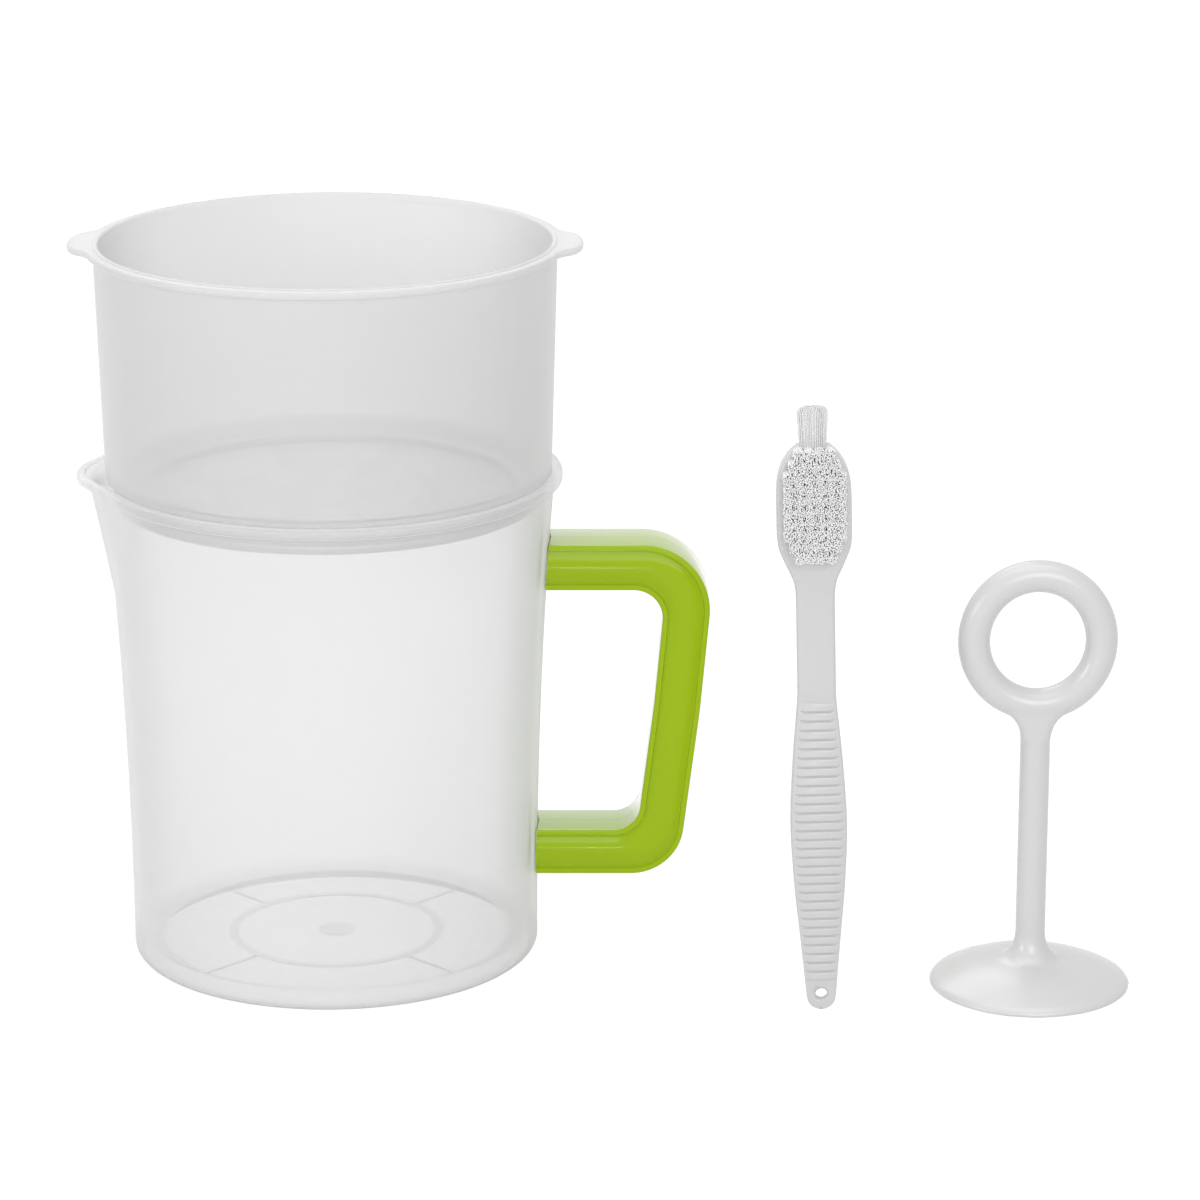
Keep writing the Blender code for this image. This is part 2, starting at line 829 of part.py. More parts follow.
def press_stem_mesh():
    """The press's domed disc and rod, turned in one."""
    disc = press_disc_radius
    foot = disc - press_edge_round
    top = press_edge_height + press_edge_round
    profile = [
        (press_rod_radius, press_hollow),
        (disc / 2, press_hollow * hollow_bend_share),
        (foot - press_foot_width, 0.0),
        (foot, 0.0),
        (disc, press_edge_height),
    ]
    rise = press_dome_height
    for radius_share, height_share in dome_shares:
        profile.append((disc * radius_share, top + rise * height_share))
    dome = press_rod_radius + press_fillet_width
    profile.append((dome, top + rise))
    for i in (1, 2, 3):
        angle = turn / 4 * i / 3
        profile.append((press_rod_radius + press_fillet_width * (1 - math.sin(angle)),
                        top + rise + press_fillet_height * (1 - math.cos(angle))))
    profile.append((press_rod_radius, press_ring_height - press_ring_half_height))
    return loft("press", lathe_rings(profile, lathe_steps))


def press_ring_mesh():
    """The finger ring, slightly taller than wide."""
    bm = bmesh.new()
    rings = []
    for i in range(lathe_steps):
        angle = turn * i / lathe_steps
        out = Vector((math.cos(angle), 0.0, math.sin(angle)))
        middle = Vector((press_ring_half_width * out.x, 0.0,
                         press_ring_height + press_ring_half_height * out.z))
        rings.append([
            middle + out * point.x + Vector((0.0, point.y, 0.0))
            for point in circle(press_ring_bar, 0.0, peg_steps)
        ])
    add_loft(bm, rings, looped=True)
    return close_mesh("finger_ring", bm)


def press_neck_mesh():
    """The neck, whose two rounds touch the rod's sides and the ring's outer edge."""
    edge = press_ring_half_width + press_ring_bar
    middle = press_rod_radius + press_neck_round
    drop = math.sqrt((edge + press_neck_round) ** 2 - middle ** 2)
    bend = math.acos(middle / (edge + press_neck_round))
    start = press_ring_height - drop
    levels = []
    for i in range(arc_steps + 1):
        angle = bend * i / arc_steps
        levels.append((press_rod_radius - join_inset + press_neck_round * (1 - math.cos(angle)),
                       start + press_neck_round * math.sin(angle)))
    half_width, top = levels[-1]
    levels.append((half_width, top + neck_sink))
    half_depth = press_rod_radius - join_inset
    return loft("press_neck", [
        [Vector((point.x * half_width, point.y * half_depth, height))
         for point in circle(1, 0.0, peg_steps)]
        for half_width, height in levels
    ])


def build_press(stand, material):
    """The press: finger ring, neck, rod and domed disc as one moulding."""
    press = place("press", press_stem_mesh(), material, stand)
    combine(press, place("finger_ring", press_ring_mesh(), parent=stand), "UNION")
    combine(press, place("press_neck", press_neck_mesh(), parent=stand), "UNION")


# Brush


def brush_section(height, half_width, half_depth):
    """A rounded rectangular section of the brush's body."""
    edge = min(brush_edge_round, half_width / 2)
    mid = edge * (1 - math.sqrt(0.5))
    quarter = (
        (half_width, half_depth - edge),
        (half_width - mid, half_depth - mid),
        (half_width - edge, half_depth),
    )
    points = [(x, y) for x, y in quarter]
    points += [(-x, y) for x, y in reversed(quarter)]
    points += [(-x, -y) for x, y in quarter]
    points += [(x, -y) for x, y in reversed(quarter)]
    return [Vector((x, y, height)) for x, y in points]


def head_half_width_at(height):
    """Half width of the brush's head at a height."""
    return head_half_width * follow(head_shares, (height - head_start) / head_length)


def brush_rings():
    """Sections of the brush from the tail, over the ribbed grip and the neck, to the head."""
    rings = []
    for up, wide in tail_shares:
        depth = tail_half_depth
        rings.append(brush_section(tail_length * up, grip_half_width * wide, depth))
    for i in range(rib_count):
        for step, extra in ((0.0, 0.0), (0.5, rib_height)):
            share = (i + step) / rib_count
            half_width = grip_half_width * follow(grip_shares, share)
            swell = follow(grip_shares, share)
            half_depth = min(grip_half_depth, tail_half_depth + grip_half_depth * share) * swell
            half_depth = max(half_depth, tail_half_depth) + extra
            rings.append(brush_section(tail_length + grip_length * share, half_width, half_depth))
    for share in neck_shares:
        height = tail_length + grip_length + neck_length * share
        rings.append(brush_section(height, neck_half_width, neck_half_depth))
    for share, wide in head_shares:
        depth = neck_half_depth + (head_half_depth - neck_half_depth) * min(1.0, share / head_swell_share)
        rings.append(brush_section(head_start + head_length * share, head_half_width * wide,
                                   depth))
    return rings


def slice_outline(margin):
    """Outline of the bristles' backing slice on the head's face, as X and height pairs.

    margin draws the outline in from the head's edge, and moves its ends in alike.
    """
    shift = margin - slice_inset
    low = row_heights()[-1] - slice_end_margin + shift
    high = row_heights()[0] + slice_end_margin - shift
    right = []
    for i in range(slice_steps + 1):
        height = low + (high - low) * i / slice_steps
        end = min(i, slice_steps - i)
        draw = margin + (slice_end_draw if end == 0 else 0.0)
        right.append((head_half_width_at(height) - draw, height))
    return right + [(-x, height) for x, height in reversed(right)]


def row_heights():
    """Heights of the rows of tufts, top row first."""
    top = head_top - top_row_drop
    return [top - row_pitch * i for i in range(len(tuft_rows))]


def face_to_front(mesh, front):
    """Turn a mesh drawn in X, height and depth so that its depth runs to -Y from a plane."""
    turned = Matrix(((1, 0, 0, 0), (0, 0, -1, front), (0, 1, 0, 0), (0, 0, 0, 1)))
    mesh.transform(turned)
    return mesh


def strand(base_x, base_y, lean_x, lean_y, low, high, spin):
    """A three-sided strand as its base and its top points."""
    base = []
    ends = []
    for i in range(3):
        angle = turn * i / 3 + spin
        x, y = strand_radius * math.cos(angle), strand_radius * math.sin(angle)
        base.append((base_x + x, base_y + y))
        ends.append((base_x + lean_x + x * strand_tip_share,
                     base_y + lean_y + y * strand_tip_share, high))
    return base, ends


def tuft_strands():
    """Strands of all the tufts on the head's face, drawn in X, height and depth."""
    posts = []
    for height, count in zip(row_heights(), tuft_rows):
        for column in range(count):
            x = (column - (count - 1) / 2) * column_pitch
            for i in range(strands_in_tuft):
                angle = turn * i / strands_in_tuft + turn / 4
                away = Vector((math.cos(angle), math.sin(angle)))
                foot = Vector((x, height)) + away * tuft_radius
                lean = away * tuft_splay
                posts.append(strand(foot.x, foot.y, lean.x, lean.y, 0.0,
                                    slice_thickness + bristle_length, angle))
    return posts


def build_bristle_field(stand, material):
    """Fifty-four tufts fused to a thin slice that lies in the head's pocket."""
    mesh = plate_with_posts("bristle_field", slice_outline(slice_inset), tuft_strands(), 0.0,
                            slice_thickness)
    face_to_front(mesh, -head_half_depth + slice_thickness)
    place("bristle_field", mesh, material, stand)


def tip_outline(clearance=0.0):
    """Rounded outline of the end tuft's slice as X and Y pairs, widened by a clearance."""
    section = brush_section(head_top, tip_half_width + clearance, tip_half_depth + clearance)
    return [(point.x, point.y + tip_back_shift) for point in section]


def build_tip_tuft(stand, material):
    """The tuft on the end of the head, fused to a slice in the head's socket."""
    posts = []
    for row, count in enumerate(tip_rows):
        for column in range(count):
            x = (column - (count - 1) / 2) * tip_pitch
            y = (row - (len(tip_rows) - 1) / 2) * tip_pitch
            high = head_top + tip_length
            posts.append(strand(x, tip_back_shift + y, x * tip_splay_share,
                                y * tip_splay_share, 0.0, high, turn / 4))
    mesh = plate_with_posts("tip_tuft", tip_outline(), posts, head_top - slice_thickness,
                            head_top)
    place("tip_tuft", mesh, material, stand)


def build_brush_body(stand, material):
    """The brush's handle and head, with a pocket, an end socket and a hang hole."""
    body = place("brush_body", loft("brush_body", brush_rings()), material, stand)
    pocket_margin = slice_inset - fit_gap
    outline = slice_outline(pocket_margin)
    deep = slice_thickness + fit_gap
    rings = [
        [Vector((x, height, depth)) for x, height in outline] for depth in (0.0, deep + cut_overrun)
    ]
    pocket = face_to_front(loft("pocket", rings), -head_half_depth + deep)
    combine(body, place("pocket", pocket, parent=stand), "DIFFERENCE")
    socket = [
        [Vector((x, y, height)) for x, y in tip_outline(fit_gap)]
        for height in (head_top - slice_thickness - fit_gap, head_top + cut_overrun)
    ]
    combine(body, place("socket", loft("socket", socket), parent=stand), "DIFFERENCE")
    reach = grip_half_depth + cut_overrun
    profile = ((hang_hole_radius, -reach), (hang_hole_radius, reach))
    hole = across_pieces("hang_hole", profile, [(0.0, hang_hole_height)])
    combine(body, place("hang_hole", hole, parent=stand), "DIFFERENCE")


def add_stand(name, x, y, z=0.0, lean=0.0):
    """An empty that a group of pieces stands on."""
    stand = bpy.data.objects.new(name, None)
    bpy.context.scene.collection.objects.link(stand)
    stand.location = (x, y, z)
    stand.rotation_euler = Euler((0.0, lean, 0.0))
    return stand


def main():
    """Build the whole set."""
    clear_scene()
    milky = plastic("translucent plastic", (0.86, 0.87, 0.88), 0.30, 0.45)
    cup_white = plastic("whitish plastic", (0.88, 0.89, 0.89), 0.30, 0.90)
    green = plastic("green plastic", (0.38, 0.56, 0.02), 0.18)
    white = plastic("white plastic", (0.84, 0.84, 0.84), 0.30)
    nylon = plastic("white nylon", (0.85, 0.85, 0.85), 0.50)
    screen = plastic("filter screen", (0.80, 0.80, 0.79), 0.50)

    jug_stand = add_stand("jug_stand", jug_x, 0.0)
    build_jug(jug_stand, milky)
    build_handle_shell("handle_front_shell", -1, jug_stand, green)
    build_handle_shell("handle_back_shell", 1, jug_stand, green)
    build_cup(jug_stand, cup_white)
    build_filter(jug_stand, screen)
    build_retaining_ring(jug_stand, cup_white)

    press_stand = add_stand("press_stand", jug_x + press_offset, -press_forward)
    build_press(press_stand, white)

    brush_stand = add_stand("brush_stand", jug_x + brush_offset, -brush_forward, brush_foot_gap,
                            brush_lean)
    build_brush_body(brush_stand, white)
    build_bristle_field(brush_stand, nylon)
    build_tip_tuft(brush_stand, nylon)


main()
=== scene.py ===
"""A yogurt strainer set: fine meshes, finishes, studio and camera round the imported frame.

The set is a milky jug with a spout and a two-shell handle, a straining cup with a filter screen
in the jug's mouth, a tufted cleaning brush and a ring-handled press. Metres, +Z up.
"""

from __future__ import annotations

import logging
import math
import random
from dataclasses import dataclass, field
from enum import Enum
from typing import Callable, Iterable, Sequence

import bmesh
import bpy
from mathutils import Matrix, Vector

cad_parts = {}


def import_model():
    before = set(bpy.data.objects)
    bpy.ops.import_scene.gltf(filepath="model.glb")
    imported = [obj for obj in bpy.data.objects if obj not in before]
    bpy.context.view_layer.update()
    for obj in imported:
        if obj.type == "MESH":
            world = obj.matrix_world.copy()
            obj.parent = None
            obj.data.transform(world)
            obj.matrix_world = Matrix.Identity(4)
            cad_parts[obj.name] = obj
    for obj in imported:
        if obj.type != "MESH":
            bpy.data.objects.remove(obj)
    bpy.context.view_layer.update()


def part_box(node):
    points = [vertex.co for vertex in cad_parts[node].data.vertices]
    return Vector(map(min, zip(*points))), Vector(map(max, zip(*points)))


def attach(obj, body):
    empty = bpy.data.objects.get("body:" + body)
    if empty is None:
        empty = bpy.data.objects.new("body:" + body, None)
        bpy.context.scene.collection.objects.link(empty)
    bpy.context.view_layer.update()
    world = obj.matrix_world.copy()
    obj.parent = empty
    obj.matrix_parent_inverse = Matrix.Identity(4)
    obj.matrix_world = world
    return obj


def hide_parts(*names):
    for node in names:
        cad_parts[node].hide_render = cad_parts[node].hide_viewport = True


LOG = logging.getLogger("strainer_set")
TURN = 2 * math.pi
FIT_GAP = 0.0003
PLASTIC_IOR = 1.49
NYLON_IOR = 1.53

Colour = tuple[float, float, float]
Place = tuple[float, float, float]
Curve = tuple[tuple[float, float], ...]
Ring = list[Vector]
Socket = bpy.types.NodeSocket


class Body(Enum):
    """Bodies of the set that move on their own."""

    JUG = "jug"
    STRAINER = "strainer"
    PRESS = "press_tool"
    BRUSH = "brush_tool"


class Slot(Enum):
    """Material slots of the record."""

    JUG = "jug_plastic"
    HANDLE = "handle_plastic"
    CUP = "cup_plastic"
    FILTER = "filter_screen"
    WHITE = "white_plastic"
    BRISTLE = "bristle_nylon"


class Side(Enum):
    """The two halves of the handle, by the direction of Y that each one faces."""

    FRONT = -1
    BACK = 1


# Mesh tools


class MeshMaker:
    """Collects the points and faces of one piece and turns them into an object."""

    def __init__(self, name: str) -> None:
        """Start an empty piece.

        Args:
            name: name of the object to come.
        """
        self.name = name
        self.points: list[tuple[float, float, float]] = []
        self.faces: list[tuple[int, ...]] = []

    def ring(self, points: Iterable[Vector]) -> list[int]:
        """Add points.

        Args:
            points: the places of the points.

        Returns:
            Their numbers in the mesh.
        """
        start = len(self.points)
        self.points += [(point[0], point[1], point[2]) for point in points]
        return list(range(start, len(self.points)))

    def bridge(self, low: Sequence[int], high: Sequence[int]) -> None:
        """Join two rings of equal counts with a band of faces.

        Args:
            low: point numbers of one ring.
            high: point numbers of the other ring.
        """
        for i in range(len(low)):
            self.faces.append((low[i - 1], low[i], high[i], high[i - 1]))

    def ladder(self, ring: Sequence[int]) -> None:
        """Close a long ring with rungs between its two sides.

        Args:
            ring: point numbers, out along one side and back along the other.
        """
        for i in range(len(ring) // 2 - 1):
            self.faces.append((ring[i], ring[i + 1], ring[-2 - i], ring[-1 - i]))

    def loft(self, rings: Sequence[Iterable[Vector]], looped: bool = False,
             rungs: bool = False) -> None:
        """Skin rings of equal counts.

        Args:
            rings: the rings in order.
            looped: whether the last ring joins the first instead of both being capped.
            rungs: whether the caps are ladders instead of single faces.
        """
        rows = [self.ring(points) for points in rings]
        for low, high in zip(rows, rows[1:]):
            self.bridge(low, high)
        if looped:
            self.bridge(rows[-1], rows[0])
        elif rungs:
            self.ladder(rows[0])
            self.ladder(rows[-1])
        else:
            self.faces.append(tuple(rows[0]))
            self.faces.append(tuple(rows[-1]))

    def build(self, smooth_degrees: float = 38.0) -> bpy.types.Object:
        """Make the object, with its faces pointing out and smooth up to sharp edges.

        Args:
            smooth_degrees: edges that turn by more than this stay sharp.

        Returns:
            The new object.
        """
        mesh = bpy.data.meshes.new(self.name)
        mesh.from_pydata(self.points, [], self.faces)
        bm = bmesh.new()
        bm.from_mesh(mesh)
        bmesh.ops.recalc_face_normals(bm, faces=bm.faces)
        bm.to_mesh(mesh)
        bm.free()
        mesh.shade_smooth()
        mesh.set_sharp_from_angle(angle=math.radians(smooth_degrees))
        thing = bpy.data.objects.new(self.name, mesh)
        bpy.context.scene.collection.objects.link(thing)
        return thing


def plan_ring(axis_x: float, height: float, steps: int,
              radius_at: Callable[[float], float]) -> Ring:
    """Points of a level ring whose radius depends on the angle.

    Args:
        axis_x: place of its axis along X.
        height: its height.
        steps: how many points it has.
        radius_at: gives the radius at an angle.

    Returns:
        The points.
    """
    ring = []
    for i in range(steps):
        angle = TURN * i / steps
        radius = radius_at(angle)
        ring.append(Vector((axis_x + radius * math.cos(angle), radius * math.sin(angle), height)))
    return ring


def circle(radius: float, height: float, steps: int) -> Ring:
    """Points of a level circle about the Z axis."""
    return plan_ring(0.0, height, steps, lambda _: radius)


def turned(profile: Iterable[tuple[float, float]], steps: int,
           axis_x: float = 0.0) -> list[Ring]:
    """Level circles for a profile of radius and height pairs.

    Args:
        profile: radius and height pairs.
        steps: points of each circle.
        axis_x: place of their axis along X.

    Returns:
        One ring for each pair.
    """
    shift = Vector((axis_x, 0, 0))
    return [[point + shift for point in circle(radius, height, steps)]
            for radius, height in profile]


def spoke(axis_x: float, angle: float, reach: tuple[float, float], half_width: float,
          levels: tuple[float, float]) -> list[Ring]:
    """A straight bar that points away from an upright axis.

    Args:
        axis_x: place of the axis along X.
        angle: the bar's direction.
        reach: distances of its two ends from the axis.
        half_width: half of its width.
        levels: heights of its underside and its top.

    Returns:
        The rings of its two ends.
    """
    low, high = levels
    spin = Matrix.Rotation(angle, 3, "Z")
    shift = Vector((axis_x, 0, 0))
    corners = ((-half_width, low), (half_width, low), (half_width, high), (-half_width, high))
    return [[shift + spin @ Vector((along, y, z)) for y, z in corners] for along in reach]


def arc(centre: tuple[float, float], radius: float, start: float, end: float,
        steps: int) -> list[tuple[float, float]]:
    """Points of an arc in a section.

    Args:
        centre: across and up place of its centre.
        radius: its radius.
        start: angle of its first point in degrees.
        end: angle of its last point in degrees.
        steps: how many stretches it has.

    Returns:
        Across and up pairs.
    """
    points = []
    for i in range(steps + 1):
        angle = math.radians(start + (end - start) * i / steps)
        points.append((centre[0] + radius * math.cos(angle),
                       centre[1] + radius * math.sin(angle)))
    return points


def ease(share: float) -> float:
    """A smooth step from 0 to 1, for a share that is clipped to them."""
    clipped = min(1.0, max(0.0, share))
    return clipped * clipped * (3 - 2 * clipped)


def follow(shares: Sequence[tuple[float, float]], place: float) -> float:
    """Value of a given curve at a place, on a smooth line through its points.

    Args:
        shares: place and value pairs in order.
        place: where to read the curve.

    Returns:
        The value there.
    """
    places = [pair[0] for pair in shares]
    values = [pair[1] for pair in shares]
    last = len(shares) - 1
    if place <= places[0]:
        return values[0]
    if place >= places[last]:
        return values[last]
    i = max(k for k in range(last) if places[k] <= place)
    slopes = []
    for k in (i, i + 1):
        after, before = min(k + 1, last), max(k - 1, 0)
        slopes.append((values[after] - values[before]) / (places[after] - places[before]))
    span = places[i + 1] - places[i]
    s = (place - places[i]) / span
    return ((2 * s ** 3 - 3 * s ** 2 + 1) * values[i] + (3 * s ** 2 - 2 * s ** 3) * values[i + 1]
            + (s ** 3 - 2 * s ** 2 + s) * span * slopes[0] + (s ** 3 - s ** 2) * span * slopes[1])


def freeze(thing: bpy.types.Object) -> None:
    """Turn an object's modifiers into plain mesh.

    Args:
        thing: the object.
    """
    graph = bpy.context.evaluated_depsgraph_get()
    mesh = bpy.data.meshes.new_from_object(thing.evaluated_get(graph))
    thing.modifiers.clear()
    thing.data = mesh


def merge(target: bpy.types.Object, tool: bpy.types.Object, operation: str) -> None:
    """Join a tool's solid to an object, or cut it out, and remove the tool.

    Args:
        target: the object that changes.
        tool: the solid that is used up.
        operation: UNION or DIFFERENCE.
    """
    modifier = target.modifiers.new(operation.title(), "BOOLEAN")
    modifier.operation = operation
    modifier.solver = "EXACT"
    modifier.object = tool
    freeze(target)
    bpy.data.objects.remove(tool, do_unlink=True)


# Finishes


class Nodes:
    """Adds and joins the nodes of one material, or of the world."""

    def __init__(self, name: str, world: bool = False) -> None:
        """Start a material or a world with an output node only.

        Args:
            name: its name.
            world: whether it is a world.
        """
        self.owner = bpy.data.worlds.new(name) if world else bpy.data.materials.new(name)
        self.owner.use_nodes = True
        self.tree = self.owner.node_tree
        self.tree.nodes.clear()
        self.output = self.add("OutputWorld" if world else "OutputMaterial")

    def add(self, kind: str, **values: object) -> bpy.types.Node:
        """Add a node and set its input sockets.

        Args:
            kind: the node's type, without the word ShaderNode.
            **values: socket values, with underscores for the spaces in their names.

        Returns:
            The node.
        """
        node = self.tree.nodes.new("ShaderNode" + kind)
        for name, value in values.items():
            node.inputs[name.replace("_", " ")].default_value = value
        return node

    def join(self, source: Socket, target: Socket) -> None:
        """Join two sockets."""
        self.tree.links.new(source, target)

    def finish(self, surface: Socket) -> bpy.types.ID:
        """Join a shader to the output and hand out the material or the world."""
        self.join(surface, self.output.inputs["Surface"])
        return self.owner

    def calculate(self, operation: str, first: Socket, second: Socket) -> Socket:
        """Work out one value from two.

        Args:
            operation: what the Math node does.
            first: socket of one value.
            second: socket of the other value.

        Returns:
            The socket of the result.
        """
        node = self.add("Math")
        node.operation = operation
        self.join(first, node.inputs[0])
        self.join(second, node.inputs[1])
        return node.outputs["Value"]

    def mix(self, share: Socket, first: Socket, second: Socket) -> Socket:
        """Mix two shaders.

        Args:
            share: socket of the second shader's share.
            first: socket of one shader.
            second: socket of the other shader.

        Returns:
            The socket of the mixed shader.
        """
        node = self.add("MixShader")
        self.join(share, node.inputs["Fac"])
        self.join(first, node.inputs[1])
        self.join(second, node.inputs[2])
        return node.outputs["Shader"]

    def seen_directly(self) -> Socket:
        """Add a value that is 1 for rays from the camera, through gloss and through glass.

        Returns:
            The socket of the value.
        """
        path = self.add("LightPath")
        value = path.outputs["Is Camera Ray"]
        for name in ("Is Glossy Ray", "Is Transmission Ray"):
            value = self.calculate("MAXIMUM", value, path.outputs[name])
        return value

    def noise(self, size: float, detail: float = 2.0,
              stretch: Place = (1.0, 1.0, 1.0)) -> Socket:
        """Add soft noise in the object's own space.

        Args:
            size: metres that one patch of it measures.
            detail: how much finer noise is laid over it.
            stretch: how much longer the patches are along X, Y and Z.

        Returns:
            The socket of its value.
        """
        place = self.add("TexCoord")
        scaled = self.add("Mapping", Scale=tuple(1.0 / (size * part) for part in stretch))
        noise = self.add("TexNoise", Scale=1.0, Detail=detail)
        self.join(place.outputs["Object"], scaled.inputs["Vector"])
        self.join(scaled.outputs["Vector"], noise.inputs["Vector"])
        return noise.outputs["Fac"]

    def spread(self, source: Socket, low: float, high: float, start: float = 0.3,
               end: float = 0.7) -> Socket:
        """Map a value from one range to another.

        Args:
            source: socket of the value.
            low: result at start.
            high: result at end.
            start: value that gives low.
            end: value that gives high.

        Returns:
            The socket of the mapped value.
        """
        node = self.add("MapRange", From_Min=start, From_Max=end, To_Min=low, To_Max=high)
        node.interpolation_type = "SMOOTHSTEP"
        self.join(source, node.inputs["Value"])
        return node.outputs["Result"]

    def two_tones(self, source: Socket, first: Colour, second: Colour) -> Socket:
        """Blend two colours by a value.

        Args:
            source: socket of the value, which gives the first colour at 0.
            first: one colour.
            second: the other colour.

        Returns:
            The socket of the blended colour.
        """
        node = self.tree.nodes.new("ShaderNodeMix")
        node.data_type = "RGBA"
        node.inputs[6].default_value = (*first, 1.0)
        node.inputs[7].default_value = (*second, 1.0)
        self.join(source, node.inputs[0])
        return node.outputs[2]

    def bump(self, source: Socket, depth: float) -> Socket:
        """Turn a value into a bump.

        Args:
            source: socket of the height value.
            depth: metres between its lowest and highest places.

        Returns:
            The socket of the normal.
        """
        node = self.add("Bump", Strength=1.0, Distance=depth)
        self.join(source, node.inputs["Height"])
        return node.outputs["Normal"]


@dataclass(frozen=True)
class MouldedPlastic:
    """A solid-coloured moulding with faint flow marks, a slight waviness and its own shine."""

    name: str
    colour: Colour
    flow_colour: Colour
    roughness: float
    gloss: float = 0.5
    rim_coat: float = 0.0
    rim_coat_ior: float = 2.0
    rim_coat_roughness: float = 0.06
    rim_start: float = 0.25
    rim_end: float = 0.65
    roughness_swing: float = 0.015
    flow_size: float = 0.018
    flow_stretch: Place = (1.0, 1.0, 2.5)
    wave_size: float = 0.030
    wave_depth: float = 0.000004

    def shader(self, nodes: Nodes) -> Socket:
        """Add the plastic's own shader to a material.

        Args:
            nodes: the material's nodes.

        Returns:
            The shader's socket.
        """
        flow = nodes.noise(self.flow_size, stretch=self.flow_stretch)
        shader = nodes.add("BsdfPrincipled", Metallic=0.0, IOR=PLASTIC_IOR,
                           Specular_IOR_Level=self.gloss)
        if self.rim_coat:
            facing = nodes.add("LayerWeight", Blend=0.5)
            shader.inputs["Coat IOR"].default_value = self.rim_coat_ior
            shader.inputs["Coat Roughness"].default_value = self.rim_coat_roughness
            nodes.join(nodes.spread(facing.outputs["Facing"], 0.0, self.rim_coat,
                                    self.rim_start, self.rim_end),
                       shader.inputs["Coat Weight"])
        colour = nodes.two_tones(nodes.spread(flow, 0.0, 1.0), self.colour, self.flow_colour)
        nodes.join(self.toned(nodes, colour), shader.inputs["Base Color"])
        wave = nodes.noise(self.wave_size, detail=1.0)
        rough = nodes.spread(wave, self.roughness - self.roughness_swing,
                             self.roughness + self.roughness_swing)
        nodes.join(rough, shader.inputs["Roughness"])
        nodes.join(nodes.bump(wave, self.wave_depth), shader.inputs["Normal"])
        return shader.outputs["BSDF"]

    def toned(self, nodes: Nodes, colour: Socket) -> Socket:
        """The colour as it is: a plain moulding has the same tone all over."""
        return colour

    def material(self) -> bpy.types.Material:
        """Make the material."""
        nodes = Nodes(self.name)
        return nodes.finish(self.shader(nodes))


@dataclass(frozen=True)
class MilkyPlastic(MouldedPlastic):
    """A see-through milky moulding, whose haze thickens where the view glances along it."""

    gloss: float = 0.15
    flow_size: float = 0.06
    wave_depth: float = 0.000001
    haze: float = 0.3
    edge_haze: float = 0.8
    edge_start: float = 0.25
    foot_haze: float = 0.0
    foot_top: float = 0.0055
    # Painted shade: the colour that the wall darkens to at its foot.
    foot_shade_colour: Colour = (0.66, 0.66, 0.665)

    def near_foot(self, nodes: Nodes, most: float) -> Socket:
        """Add a value that fades with height above the foot, for the thicker wall and its painted
        shade.

        Args:
            nodes: the material's nodes.
            most: the value at the foot.

        Returns:
            The socket of the value.
        """
        place = nodes.add("TexCoord")
        split = nodes.add("SeparateXYZ")
        nodes.join(place.outputs["Object"], split.inputs["Vector"])
        return nodes.spread(split.outputs["Z"], most, 0.0, 0.0, self.foot_top)

    def toned(self, nodes: Nodes, colour: Socket) -> Socket:
        """Darken the colour toward the foot with painted shade, where the plastic is also
        thicker.

        Args:
            nodes: the material's nodes.
            colour: socket of the wall's colour.

        Returns:
            The socket of the toned colour.
        """
        if not self.foot_haze:
            return colour
        # Painted shade darkens the colour toward the foot.
        toned = nodes.two_tones(self.near_foot(nodes, 1.0), self.colour, self.foot_shade_colour)
        nodes.join(colour, toned.node.inputs[6])
        return toned

    def material(self) -> bpy.types.Material:
        """Make the material.

        Returns:
            The material.
        """
        nodes = Nodes(self.name)
        facing = nodes.add("LayerWeight", Blend=0.5)
        haze = nodes.spread(facing.outputs["Facing"], self.haze, self.edge_haze,
                            self.edge_start, 1.0)
        if self.foot_haze:
            haze = nodes.calculate("ADD", haze, self.near_foot(nodes, self.foot_haze))
        clear = nodes.add("BsdfTransparent").outputs["BSDF"]
        return nodes.finish(nodes.mix(haze, clear, self.shader(nodes)))


@dataclass(frozen=True)
class Filament:
    """Drawn nylon: pale strands whose tone changes from one to the next."""

    name: str
    colour: Colour
    shade: Colour
    roughness: float = 0.42
    roughness_swing: float = 0.06
    strand_size: float = 0.0006

    def material(self) -> bpy.types.Material:
        """Make the material.

        Returns:
            The material.
        """
        nodes = Nodes(self.name)
        tone = nodes.noise(self.strand_size, detail=0.0)
        shader = nodes.add("BsdfPrincipled", Metallic=0.0, IOR=NYLON_IOR)
        colour = nodes.two_tones(nodes.spread(tone, 0.0, 1.0), self.colour, self.shade)
        nodes.join(colour, shader.inputs["Base Color"])
        rough = nodes.spread(tone, self.roughness - self.roughness_swing,
                             self.roughness + self.roughness_swing)
        nodes.join(rough, shader.inputs["Roughness"])
        return nodes.finish(shader.outputs["BSDF"])


